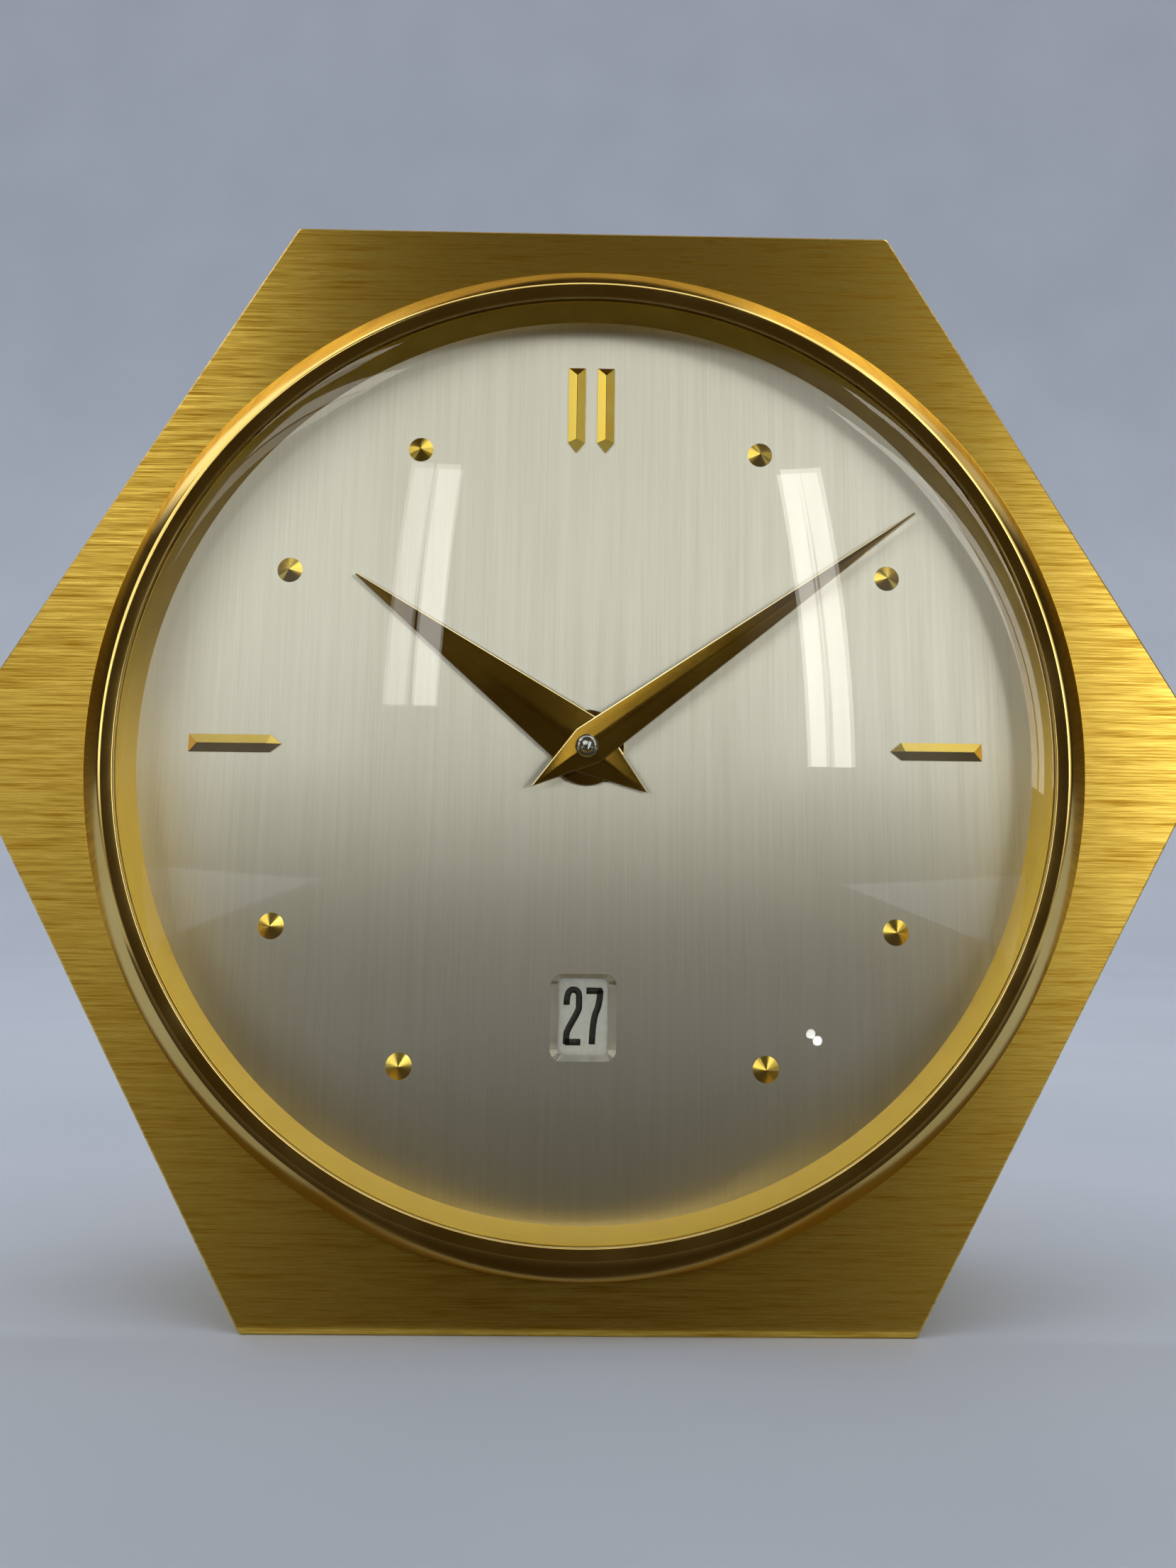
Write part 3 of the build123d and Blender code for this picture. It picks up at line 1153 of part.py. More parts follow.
def setting_knob():
    """Fluted knob on the rear end of the centre arbor."""
    points = []
    for index in range(KNOB_FLUTES):
        turn = 360 * index / KNOB_FLUTES
        points.append(polar(KNOB_RADIUS, turn))
        points.append(polar(KNOB_RADIUS - KNOB_FLUTE_DEPTH, turn + 180 / KNOB_FLUTES))
    back = HUB_FRONT - KNOB_LENGTH
    knob = prism(make_face(Polyline(*points, close=True)), back, HUB_FRONT)
    rim = KNOB_RADIUS - KNOB_EDGE
    edge = Pos(0, 0, back) * Cone(rim, rim + KNOB_LENGTH, KNOB_LENGTH, align=LOW)
    return (knob & edge) - disc(CENTRE_ARBOR_RADIUS, back + KNOB_CAP, HUB_FRONT + CUT_OVERRUN)


def stand(shape):
    """Sets a piece upright on the clock's resting face."""
    return Pos(0, FRONT_Y, CENTRE_HEIGHT) * Rot(90, 0, 0) * shape


PIECES = {
    "case_body": case_body(),
    "bezel_ring": bezel_ring(),
    "glass_dome": glass_dome(),
    "reflector_ring": reflector_ring(),
    "dial_plate": dial_plate(),
    "hour_bars": hour_bars(),
    "hour_studs": hour_studs(),
    "dial_seat_ring": dial_seat_ring(),
    "date_ring": date_ring(),
    "date_jumper": date_jumper(),
    "hour_hand": hour_hand(),
    "minute_hand": minute_hand(),
    "cannon_pinion": cannon_pinion(),
    "minute_wheel": minute_wheel(),
    "minute_pinion": minute_pinion(),
    "hour_wheel": hour_wheel(),
    "calendar_wheel": calendar_wheel(),
    "date_finger": date_finger(),
    "wheel_studs": wheel_studs(),
    "main_plate": main_plate(),
    "back_plate": back_plate(),
    "plate_pillars": plate_pillars(),
    "pillar_screws": pillar_screws(),
    "movement_screws": movement_screws(),
    "centre_arbor": centre_arbor(),
    "clutch_spring": clutch_spring(),
    "centre_pinion": centre_pinion(),
    "centre_wheel": centre_wheel(),
    "intermediate_arbor": intermediate_arbor(),
    "intermediate_wheel": intermediate_wheel(),
    "third_arbor": train_arbor(THIRD, CENTRE, THIRD_PINION_TEETH, CENTRE_MODULE, CENTRE_LEVEL_SHARE),
    "third_wheel": train_wheel(THIRD, FOURTH, THIRD_TEETH, THIRD_MODULE, THIRD_LEVEL_SHARE),
    "fourth_arbor": train_arbor(FOURTH, THIRD, FOURTH_PINION_TEETH, THIRD_MODULE, THIRD_LEVEL_SHARE),
    "fourth_wheel": train_wheel(FOURTH, ESCAPE, FOURTH_TEETH, FOURTH_MODULE, FOURTH_LEVEL_SHARE),
    "escape_arbor": train_arbor(ESCAPE, FOURTH, ESCAPE_PINION_TEETH, FOURTH_MODULE, FOURTH_LEVEL_SHARE),
    "escape_wheel": escape_wheel(),
    "lever_arbor": arbor(LEVER, TRAIN_ARBOR_RADIUS, TRAIN_PIVOT_RADIUS),
    "pallet_lever": pallet_lever(),
    "pallet_pins": pallet_pins(),
    "balance_staff": balance_staff(),
    "balance_wheel": balance_wheel(),
    "impulse_roller": impulse_roller(),
    "hairspring": hairspring(),
    "balance_bush": balance_bush(),
    "regulator_index": regulator_index(),
    "barrel_drum": barrel_drum(),
    "barrel_cover": barrel_cover(),
    "mainspring": mainspring(),
    "barrel_arbor": barrel_arbor(),
    "ratchet_wheel": ratchet_wheel(),
    "click_spring": click_spring(),
    "back_cover": back_cover(),
    "cover_screws": cover_screws(),
    "winding_key_hub": winding_key_hub(),
    "key_hinge_pin": key_hinge_pin(),
    "winding_key_bow": winding_key_bow(),
    "setting_knob": setting_knob(),
}

os.makedirs("parts", exist_ok=True)
for name, piece in PIECES.items():
    export_step(stand(piece), f"parts/{name}.step")
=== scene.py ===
# %% [markdown]
# This lesson dresses a hexagonal brass table clock for a studio picture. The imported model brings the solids,
# the bodies that move and their joints, so it is loaded first and stays where it is. Everything after that is
# a finish for one of its solids, or a finer piece that stands for one.

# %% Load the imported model
import json
import math

import bmesh
import bpy
from mathutils import Matrix, Vector


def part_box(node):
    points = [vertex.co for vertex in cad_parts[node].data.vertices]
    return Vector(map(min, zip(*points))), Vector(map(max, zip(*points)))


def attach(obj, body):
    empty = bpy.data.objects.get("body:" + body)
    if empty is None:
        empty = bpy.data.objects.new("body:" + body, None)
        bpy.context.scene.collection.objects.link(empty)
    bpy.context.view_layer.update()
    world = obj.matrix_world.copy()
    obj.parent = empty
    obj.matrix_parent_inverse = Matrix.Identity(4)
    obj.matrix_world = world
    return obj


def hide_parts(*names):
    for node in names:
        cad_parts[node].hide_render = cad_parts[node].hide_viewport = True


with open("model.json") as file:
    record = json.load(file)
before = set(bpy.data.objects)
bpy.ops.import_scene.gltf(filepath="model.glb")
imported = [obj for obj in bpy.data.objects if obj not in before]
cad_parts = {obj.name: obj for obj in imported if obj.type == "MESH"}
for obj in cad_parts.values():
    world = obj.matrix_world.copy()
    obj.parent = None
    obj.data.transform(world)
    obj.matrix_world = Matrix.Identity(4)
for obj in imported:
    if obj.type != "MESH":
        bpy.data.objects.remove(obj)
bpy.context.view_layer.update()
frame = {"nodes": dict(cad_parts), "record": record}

MM = 0.001
nodes = frame["nodes"]

# %% [markdown]
# A clockmaker works in the dial's own frame: x to the right, y up and z towards the eye, with z = 0 on the
# front face of the case. Modelling in that frame, in millimetres, keeps the numbers easy to read. One matrix
# then turns a finished mesh upright and shrinks it to metres, so each object itself stays at the origin.

# %% The dial's frame
case_low, case_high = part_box("case_body")
FACE_Y = case_low.y
CENTRE_Z = (case_low.z + case_high.z) / 2
STAND = (
    Matrix.Translation((0, FACE_Y, CENTRE_Z))
    @ Matrix.Rotation(math.radians(90), 4, "X")
    @ Matrix.Scale(MM, 4)
)


def round_sizes(node):
    """Outer radius, back and front of a round CAD node, in millimetres in the dial's frame."""
    low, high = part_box(node)
    return (high.x - low.x) / 2 / MM, (FACE_Y - high.y) / MM, (FACE_Y - low.y) / MM


print("bezel radius, back, front", [round(size, 3) for size in round_sizes("bezel_ring")])

# %% [markdown]
# Colours are picked as they look on a screen, as hex values. Blender's shaders count light, so one function
# turns a hex value to linear numbers. A second small function adds any node with its settings, its plain
# values, its links and, for a colour ramp, its stops. That keeps each finish below to a short list of nodes.

# %% Colour and node helpers
def linear(code):
    """Linear RGBA of an sRGB hex colour."""
    parts = [int(code[place:place + 2], 16) / 255 for place in (1, 3, 5)]
    return tuple(p / 12.92 if p <= 0.04045 else ((p + 0.055) / 1.055) ** 2.4 for p in parts) + (1.0,)


def add(tree, kind, values=None, links=None, stops=(), **settings):
    """Adds a node: values and links go by input name or number, a ramp's stops by place and hex colour."""
    node = tree.nodes.new(kind)
    for name, value in settings.items():
        setattr(node, name, value)
    for name, value in (values or {}).items():
        node.inputs[name].default_value = value
    for name, source in (links or {}).items():
        tree.links.new(source, node.inputs[name])
    if stops:
        for element, (place, shade) in zip(node.color_ramp.elements, (stops[0], stops[-1])):
            element.position, element.color = place, linear(shade)
        for place, shade in stops[1:-1]:
            node.color_ramp.elements.new(place).color = linear(shade)
    return node


def new_finish(name):
    """An empty material and its node tree."""
    material = bpy.data.materials.new(name)
    material.use_nodes = True
    material.node_tree.nodes.clear()
    return material, material.node_tree


def per_metre(*sizes_mm):
    """Pattern scale that makes one cell as large as the sizes in millimetres."""
    return tuple(1 / (size * MM) for size in sizes_mm)


# %% [markdown]
# Brushed metal is the main finish of this clock. An abrasive belt leaves fine parallel scratches, so light
# spreads across them and hardly along them. A noise stretched along the belt gives the scratches, once fine
# and once broad, and the shader's anisotropy gives the spread. The six flanks of the case are brushed round the
# hexagon, so the pattern is chosen by the way a surface faces. Real scratches are a few hundredths of a
# millimetre apart, too fine for the picture, so they are drawn three to five times as far apart.

# %% Brushed metal
NOISE_LOW, NOISE_HIGH = 0.3, 0.7
BROAD, BROAD_SHARE = 3, 0.4
SCRATCH_LOW, SCRATCH_HIGH = 0.36, 0.6
FLANK_LINES, FLANK_SPREAD, FLANK_LIMIT = (4.5, 0.13, 4.5), (0, 1, 0), 0.5


def brushed_metal(name, shades, roughness, lines, spread, anisotropy, depth):
    """Metal with scratches: lines is the size of one along x, y and z, and depth its depth, in millimetres."""
    material, tree = new_finish(name)
    where = add(tree, "ShaderNodeTexCoord")
    facing = add(tree, "ShaderNodeSeparateXYZ", links={0: where.outputs["Normal"]}).outputs["Y"]
    level = add(tree, "ShaderNodeMath", links={0: facing}, operation="ABSOLUTE").outputs[0]
    flat = add(tree, "ShaderNodeMath", {1: FLANK_LIMIT}, {0: level}, operation="GREATER_THAN").outputs[0]
    scale = add(
        tree, "ShaderNodeMix", {4: per_metre(*FLANK_LINES), 5: per_metre(*lines)}, {0: flat},
        data_type="VECTOR",
    )
    fine_place = add(
        tree, "ShaderNodeVectorMath", links={0: where.outputs["Object"], 1: scale.outputs[1]},
        operation="MULTIPLY",
    )
    broad_place = add(
        tree, "ShaderNodeVectorMath", {"Scale": 1 / BROAD}, {0: fine_place.outputs[0]}, operation="SCALE"
    )
    fine = add(
        tree, "ShaderNodeTexNoise", {"Scale": 1.0, "Detail": 3.0, "Roughness": 0.65},
        {"Vector": fine_place.outputs[0]},
    )
    broad = add(
        tree, "ShaderNodeTexNoise", {"Scale": 1.0, "Detail": 2.0}, {"Vector": broad_place.outputs[0]}
    )
    both = add(
        tree, "ShaderNodeMix", {0: BROAD_SHARE}, {2: fine.outputs["Fac"], 3: broad.outputs["Fac"]},
        data_type="FLOAT",
    ).outputs[0]
    shade = add(
        tree, "ShaderNodeValToRGB", links={"Fac": both},
        stops=((SCRATCH_LOW, shades[0]), (SCRATCH_HIGH, shades[1])),
    )
    rough = add(
        tree, "ShaderNodeMapRange",
        {"From Min": NOISE_LOW, "From Max": NOISE_HIGH, "To Min": roughness[1], "To Max": roughness[0]},
        {"Value": both},
    )
    bump = add(tree, "ShaderNodeBump", {"Strength": 1.0, "Distance": depth * MM}, {"Height": both})
    across = add(tree, "ShaderNodeMix", {4: FLANK_SPREAD, 5: spread}, {0: flat}, data_type="VECTOR")
    metal = add(
        tree, "ShaderNodeBsdfPrincipled", {"Metallic": 1.0, "Anisotropic": anisotropy},
        {
            "Base Color": shade.outputs[0],
            "Roughness": rough.outputs[0],
            "Normal": bump.outputs[0],
            "Tangent": across.outputs[1],
        },
    )
    add(tree, "ShaderNodeOutputMaterial", links={"Surface": metal.outputs[0]})
    return material


FACE_BRASS = ("#B4871F", "#F5D464")
DIAL_SILVER = ("#E4E1D6", "#EBE9E0")
COVER_BRASS = ("#D2A648", "#E0B859")
case_brass = brushed_metal(
    "brushed_lacquered_brass", FACE_BRASS, roughness=(0.24, 0.4), lines=(4.5, 0.13, 0.13),
    spread=(0, 0, 1), anisotropy=0.8, depth=0.008,
)
dial_silver = brushed_metal(
    "brushed_silvered_dial", DIAL_SILVER, roughness=(0.34, 0.4), lines=(0.17, 0.17, 11),
    spread=(1, 0, 0), anisotropy=1.0, depth=0.002,
)
cover_brass = brushed_metal(
    "satin_brass_cover", COVER_BRASS, roughness=(0.3, 0.42), lines=(0.16, 0.16, 9),
    spread=(1, 0, 0), anisotropy=0.7, depth=0.003,
)
print("brushed finishes", case_brass.name, dial_silver.name, cover_brass.name)

# %% [markdown]
# The other metals are turned, polished or plated, and have no grain of their own. What breaks up their shine
# is handling: a haze a few millimetres wide and finer marks inside it. One function mixes those two noises
# into the roughness and a very shallow bump.

# %% Polished and satin metal
MARKS_PER_HAZE = 8


def handled_metal(name, shades, roughness, haze, depth):
    """Metal with a hazy polish: haze is its size and depth the depth of its marks, in millimetres."""
    material, tree = new_finish(name)
    place = add(tree, "ShaderNodeTexCoord").outputs["Object"]
    scale = 1 / (haze * MM)
    wide = add(tree, "ShaderNodeTexNoise", {"Scale": scale, "Detail": 4.0}, {"Vector": place}).outputs["Fac"]
    close = add(
        tree, "ShaderNodeTexNoise", {"Scale": MARKS_PER_HAZE * scale, "Detail": 2.0}, {"Vector": place}
    ).outputs["Fac"]
    shade = add(
        tree, "ShaderNodeValToRGB", links={"Fac": wide},
        stops=((NOISE_LOW, shades[0]), (NOISE_HIGH, shades[1])),
    )
    rough = add(
        tree, "ShaderNodeMapRange",
        {"From Min": NOISE_LOW, "From Max": NOISE_HIGH, "To Min": roughness[0], "To Max": roughness[1]},
        {"Value": wide},
    )
    bump = add(tree, "ShaderNodeBump", {"Strength": 1.0, "Distance": depth * MM}, {"Height": close})
    metal = add(
        tree, "ShaderNodeBsdfPrincipled", {"Metallic": 1.0},
        {"Base Color": shade.outputs[0], "Roughness": rough.outputs[0], "Normal": bump.outputs[0]},
    )
    add(tree, "ShaderNodeOutputMaterial", links={"Surface": metal.outputs[0]})
    return material


bezel_brass = handled_metal("polished_brass", ("#D8B968", "#E1C578"), (0.1, 0.16), 5, 0.0003)
reflector_brass = handled_metal("satin_gilt_brass", ("#EBC54A", "#F2CF54"), (0.3, 0.4), 3, 0.001)
gilt = handled_metal("gilt_brass", ("#E8C658", "#F0D26A"), (0.15, 0.24), 2, 0.0006)
aged_gilt = handled_metal("aged_gilt_brass", ("#9C7A2C", "#A68434"), (0.18, 0.24), 6, 0.0001)
# The pale gilt for the hands' front edges is a painted highlight: it stands for lamplight caught on them.
painted_highlight_gilt = handled_metal("painted_highlight_edge_gilt", ("#F2DDA6", "#F8E6B8"), (0.1, 0.16), 3, 0.0001)
key_brass = handled_metal("turned_brass", ("#D8AE58", "#E3BC6A"), (0.14, 0.26), 4, 0.0006)
steel = handled_metal("polished_steel", ("#B9BBBD", "#CDCFD0"), (0.1, 0.2), 2, 0.0004)
spring_steel = handled_metal("blued_spring_steel", ("#3A4A6E", "#4C5F86"), (0.2, 0.32), 2, 0.0006)
movement_brass = handled_metal("lacquered_movement_brass", ("#CFA858", "#DCB86C"), (0.22, 0.36), 3, 0.0008)
print("polished and satin finishes from", bezel_brass.name, "to", movement_brass.name)

# %% [markdown]
# The date ring is a thin disc in pale grey paint with black printed numbers. Paint is not a metal: it is dull,
# slightly uneven and has no mirror image, so its base colour carries the look. The ink is the same kind of
# surface in black.

# %% Paint and ink
PAINT_DEPTH, PAINT_STRENGTH = 0.005, 0.4


def matt_paint(name, shades, roughness, grain):
    """Dull paint whose tone varies a little over the given size in millimetres."""
    material, tree = new_finish(name)
    place = add(tree, "ShaderNodeTexCoord").outputs["Object"]
    noise = {"Scale": 1 / (grain * MM), "Detail": 3.0}
    tone = add(tree, "ShaderNodeTexNoise", noise, {"Vector": place}).outputs["Fac"]
    shade = add(
        tree, "ShaderNodeValToRGB", links={"Fac": tone},
        stops=((NOISE_LOW, shades[0]), (NOISE_HIGH, shades[1])),
    )
    bump = add(
        tree, "ShaderNodeBump", {"Strength": PAINT_STRENGTH, "Distance": PAINT_DEPTH * MM}, {"Height": tone}
    )
    paint = add(
        tree, "ShaderNodeBsdfPrincipled", {"Roughness": roughness},
        {"Base Color": shade.outputs[0], "Normal": bump.outputs[0]},
    )
    add(tree, "ShaderNodeOutputMaterial", links={"Surface": paint.outputs[0]})
    return material


date_white = matt_paint("pale_grey_paint", ("#C9C8C0", "#D6D5CE"), 0.55, 0.4)
date_ink = matt_paint("black_printing_ink", ("#0B0B0C", "#141414"), 0.45, 0.3)
print("paint and ink", date_white.name, date_ink.name)

# %% [markdown]
# The glass is a thin clear dome. What shows of it is its shine: about four hundredths of the light head on
# and far more at a glancing angle. A thin dome hardly bends what lies behind it, so the shader lets light
# straight through and adds a mirror by that rule. Lamps then reach the dial without noise. Smears from wiping
# dim the mirror a little here and there.

# %% Clear glass
SHINE_HEAD_ON, SHINE_POWER = 0.042, 5.0
SMEAR_SIZE, SMEAR_LOW, SMEAR_HIGH, SMEAR_DIM = 9, 0.35, 0.75, 0.85
GLASS_TINT = "#FDFEFD"
clear_glass, tree = new_finish("clear_domed_glass")
facing = add(tree, "ShaderNodeLayerWeight", {"Blend": 0.5}).outputs["Facing"]
fifth = add(tree, "ShaderNodeMath", {1: SHINE_POWER}, {0: facing}, operation="POWER").outputs[0]
shine = add(tree, "ShaderNodeMapRange", {"To Min": SHINE_HEAD_ON, "To Max": 1.0}, {"Value": fifth})
smear = add(
    tree, "ShaderNodeTexNoise", {"Scale": 1 / (SMEAR_SIZE * MM), "Detail": 3.0},
    {"Vector": add(tree, "ShaderNodeTexCoord").outputs["Object"]},
).outputs["Fac"]
wiped = add(
    tree, "ShaderNodeMapRange",
    {"From Min": SMEAR_LOW, "From Max": SMEAR_HIGH, "To Min": 1.0, "To Max": SMEAR_DIM}, {"Value": smear},
)
through = add(tree, "ShaderNodeBsdfTransparent", {"Color": linear(GLASS_TINT)})
mirror = add(tree, "ShaderNodeBsdfAnisotropic", {"Roughness": 0.0}, {"Color": wiped.outputs[0]})
window = add(
    tree, "ShaderNodeMixShader",
    links={0: shine.outputs[0], 1: through.outputs[0], 2: mirror.outputs[0]},
)
add(tree, "ShaderNodeOutputMaterial", links={"Surface": window.outputs[0]})
print("glass finish", clear_glass.name)

# %% [markdown]
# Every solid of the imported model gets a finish. Most of them are wheels, arbors and plates inside the case,
# which only show through the slot in the back, so the finish is read from the record's slot names.

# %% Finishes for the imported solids
FINISHES = {
    "case_brass": case_brass,
    "bezel_brass": bezel_brass,
    "clear_glass": clear_glass,
    "reflector_brass": reflector_brass,
    "dial_silver": dial_silver,
    "gilt": gilt,
    "date_white": date_white,
    "cover_brass": cover_brass,
    "key_brass": key_brass,
    "steel": steel,
    "spring_steel": spring_steel,
    "movement_brass": movement_brass,
}
slot_of = {part["node"]: part["material_slot"] for part in frame["record"]["subparts"]}
for name, node in nodes.items():
    node.data.materials.clear()
    node.data.materials.append(FINISHES[slot_of[name]])
print("solids with a finish", len(slot_of))

# %% [markdown]
# A finished mesh becomes a piece in one place: it gets its finish, is shaded smooth with its real edges kept
# sharp, is hung on the body that carries it, and hides the solid it stands for.

# %% Turn a mesh into a piece
EDGE_ANGLE, FACET_ANGLE = math.radians(32), math.radians(11)
body_of = {node: body for body, group in frame["record"]["behaviour"]["bodies"].items() for node in group}


def new_object(name, bm, finish):
    """Makes an object of a mesh that is drawn in metres and in place."""
    mesh = bpy.data.meshes.new(name)
    bm.to_mesh(mesh)
    bm.free()
    mesh.materials.append(finish)
    made = bpy.data.objects.new(name, mesh)
    bpy.context.scene.collection.objects.link(made)
    return made


def place_piece(name, bm, node, finish=None, edge_angle=EDGE_ANGLE):
    """Makes an object that stands for a CAD node."""
    piece = new_object(name, bm, finish or FINISHES[slot_of[node]])
    piece.data.shade_smooth()
    piece.data.set_sharp_from_angle(angle=edge_angle)
    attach(piece, body_of[node])
    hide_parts(node)
    print(name, len(piece.data.polygons), "faces on", body_of[node])
    return piece


# %% [markdown]
# The bezel, the glass and the ring under it are turned parts. On a lathe the tool follows a profile while the
# work spins, and Blender's spin does the same with a wire. A vertex bevel rounds a corner of the wire first,
# so that the polished edge catches a line of light as the real one does.

# %% Lathe
TURN_STEPS = 240
ROUND_STEPS = 8
WELD = 1e-4


def close_wire(bm, corners):
    """Joins corner points to a closed profile."""
    for here, there in zip(corners, corners[1:] + corners[:1]):
        bm.edges.new((here, there))


def round_corner(bm, corner, radius):
    """Rounds one corner of a profile."""
    bmesh.ops.bevel(
        bm, geom=[corner], offset=radius, offset_type="OFFSET", affect="VERTICES", segments=ROUND_STEPS,
        profile=0.5, material=-1, clamp_overlap=False,
    )


def turn(bm):
    """Spins the profile about the clock's axis and sets the result upright."""
    bmesh.ops.spin(
        bm, geom=bm.verts[:] + bm.edges[:], cent=(0, 0, 0), axis=(0, 0, 1), angle=math.tau,
        steps=TURN_STEPS, use_merge=True,
    )
    bmesh.ops.remove_doubles(bm, verts=bm.verts[:], dist=WELD)
    bmesh.ops.recalc_face_normals(bm, faces=bm.faces[:])
    bmesh.ops.transform(bm, matrix=STAND, verts=bm.verts[:])
    return bm


print("lathe with", TURN_STEPS, "steps a turn")

# %% [markdown]
# The bezel is a polished ring. Its flank leans in to a crest, which slopes gently down to a lip over the glass,
# and a thin spigot holds it in the case. Only the three corners that show are rounded.

# %% Bezel
BEZEL_SLOPE, BEZEL_LIP, LIP_DROP = 1.7, 1.1, 0.25
LIP_WALL, SEAT_WIDTH, SPIGOT_WALL = 0.35, 0.75, 0.75
FLANK_ROUND, CREST_ROUND, LIP_ROUND = 0.25, 0.3, 0.1
bezel_radius, spigot_back, bezel_front = round_sizes("bezel_ring")
crest = bezel_radius - BEZEL_SLOPE
lip = crest - BEZEL_LIP
seat = lip + SEAT_WIDTH
lip_top = bezel_front - LIP_DROP
bezel_points = [
    (bezel_radius, 0), (bezel_radius, bezel_front - BEZEL_SLOPE), (crest, bezel_front), (lip, lip_top),
    (lip, lip_top - LIP_WALL), (seat, lip_top - LIP_WALL), (seat, spigot_back),
    (seat + SPIGOT_WALL, spigot_back), (seat + SPIGOT_WALL, 0),
]
bm = bmesh.new()
corners = [bm.verts.new((radius, 0, depth)) for radius, depth in bezel_points]
close_wire(bm, corners)
for corner, rounding in ((corners[1], FLANK_ROUND), (corners[2], CREST_ROUND), (corners[3], LIP_ROUND)):
    round_corner(bm, corner, rounding)
place_piece("bezel", turn(bm), "bezel_ring")

# %% [markdown]
# The ring between the dial and the glass is a shallow cone. It throws light on to the dial, so it is satin
# rather than polished, and its inner top edge is only just broken.

# %% Reflector
REFLECTOR_TOP_WALL, REFLECTOR_FOOT_WALL, REFLECTOR_EDGE = 0.5, 1.1, 0.06
reflector_radius, reflector_foot, reflector_top = round_sizes("reflector_ring")
bm = bmesh.new()
corners = [
    bm.verts.new(place)
    for place in (
        (reflector_radius - REFLECTOR_FOOT_WALL, 0, reflector_foot),
        (reflector_radius, 0, reflector_foot),
        (reflector_radius, 0, reflector_top),
        (reflector_radius - REFLECTOR_TOP_WALL, 0, reflector_top),
    )
]
close_wire(bm, corners)
round_corner(bm, corners[3], REFLECTOR_EDGE)
place_piece("reflector", turn(bm), "reflector_ring")

# %% [markdown]
# The dome of the glass is part of a large ball. Spinning one point about the ball's middle draws the arc of
# its profile, first for the outer face and then for the inner one, and a short flange joins them under the
# bezel's lip. The wall is real, so the lamps mirror twice in it, as they do in the photograph.

# %% Glass
GLASS_WALL, GLASS_FLANGE, GLASS_STEP = 1.4, 0.95, 1.2
ARC_STEPS = 40
flange_radius, flange_back, apex = round_sizes("glass_dome")
flange_front = flange_back + GLASS_FLANGE
rise = apex - flange_front
dome_radius = flange_radius - GLASS_STEP
ball = (dome_radius**2 + rise**2) / (2 * rise)
middle = apex - ball


def only(kind, geometry):
    """The items of one kind, such as the vertices, in a mixed list."""
    return [item for item in geometry if isinstance(item, kind)]


def dome_arc(bm, radius, level):
    """Draws the arc of a ball's profile from its top down to a level and gives its last point."""
    top = bm.verts.new((0, 0, middle + radius))
    fall = math.acos((level - middle) / radius)
    made = bmesh.ops.spin(
        bm, geom=[top], cent=(0, 0, middle), axis=(0, 1, 0), angle=fall, steps=ARC_STEPS
    )
    return only(bmesh.types.BMVert, made["geom_last"])[0]


bm = bmesh.new()
outer_end = dome_arc(bm, ball, flange_front)
inner_end = dome_arc(bm, ball - GLASS_WALL, flange_back)
rim = [
    outer_end,
    bm.verts.new((flange_radius, 0, flange_front)),
    bm.verts.new((flange_radius, 0, flange_back)),
    inner_end,
]
for here, there in zip(rim, rim[1:]):
    bm.edges.new((here, there))
place_piece("glass", turn(bm), "glass_dome")

# %% [markdown]
# Solids that are right as they stand still come as loose flat triangles, which would show as facets on a
# polished turning. A copy is welded and shaded smooth. On the hands and the key's bow, the triangles of each
# flat are also joined and the sharp edges get a hair of rounding. The hands are rounded in front only, and that
# rounding gets a pale gilt that is a painted highlight, for lamplight caught along the edges; the blade beside
# it is a darker, browner gilt. The solid itself is left alone.

# %% Finer copies of imported solids
FLAT, CORNER = math.radians(0.4), math.radians(40)
FRONT_LIMIT = 0.5
HAIR_STEPS = 2


def in_front(edge):
    """Whether one of the edge's faces looks towards the eye."""
    return any(face.normal.y < -FRONT_LIMIT for face in edge.link_faces)


def finer_copy(name, node, rounding=0, finish=None, painted_highlight_finish=None, edge_angle=EDGE_ANGLE):
    """A welded copy of a CAD node whose sharp edges are rounded by the given millimetres."""
    bm = bmesh.new()
    bm.from_mesh(nodes[node].data)
    bmesh.ops.remove_doubles(bm, verts=bm.verts[:], dist=WELD * MM)
    if rounding:
        bmesh.ops.dissolve_limit(bm, angle_limit=FLAT, verts=bm.verts[:], edges=bm.edges[:])
        sharp = [edge for edge in bm.edges if edge.is_manifold and edge.calc_face_angle() > CORNER]
        # A second finish paints a highlight on the rounded edges that face the eye.
        if painted_highlight_finish:
            sharp = [edge for edge in sharp if in_front(edge)]
        rounded = bmesh.ops.bevel(
            bm, geom=sharp, offset=rounding * MM, offset_type="OFFSET", affect="EDGES",
            segments=HAIR_STEPS, profile=0.5, material=-1, clamp_overlap=True,
        )
        for face in rounded["faces"]:
            face.material_index = 1 if painted_highlight_finish else 0
    piece = place_piece(name, bm, node, finish, edge_angle)
    if painted_highlight_finish:
        piece.data.materials.append(painted_highlight_finish)
    return piece


HAND_ROUND, BOW_ROUND = 0.1, 0.12
# The hands' rounded front edges take the pale gilt, a painted highlight.
finer_copy("hour_hand_gilt", "hour_hand", HAND_ROUND, aged_gilt, painted_highlight_gilt, FACET_ANGLE)
finer_copy("minute_hand_gilt", "minute_hand", HAND_ROUND, aged_gilt, painted_highlight_gilt, FACET_ANGLE)
finer_copy("cannon_pipe", "cannon_pinion")
finer_copy("centre_pin", "centre_arbor")
finer_copy("key_hub", "winding_key_hub")
finer_copy("key_bow", "winding_key_bow", BOW_ROUND)
finer_copy("key_pin", "key_hinge_pin")
finer_copy("hand_setting_knob", "setting_knob")
finer_copy("cover_screw_heads", "cover_screws")

# %% [markdown]
# The bars on the dial are cut from square wire: low roofs with a point towards the middle. An inset of half
# their width that also lifts the face gives the ridge and both ends in one step. Their facets stay flat, since
# a roof that is shaded smooth loses the crisp line between its bright and its dark side.

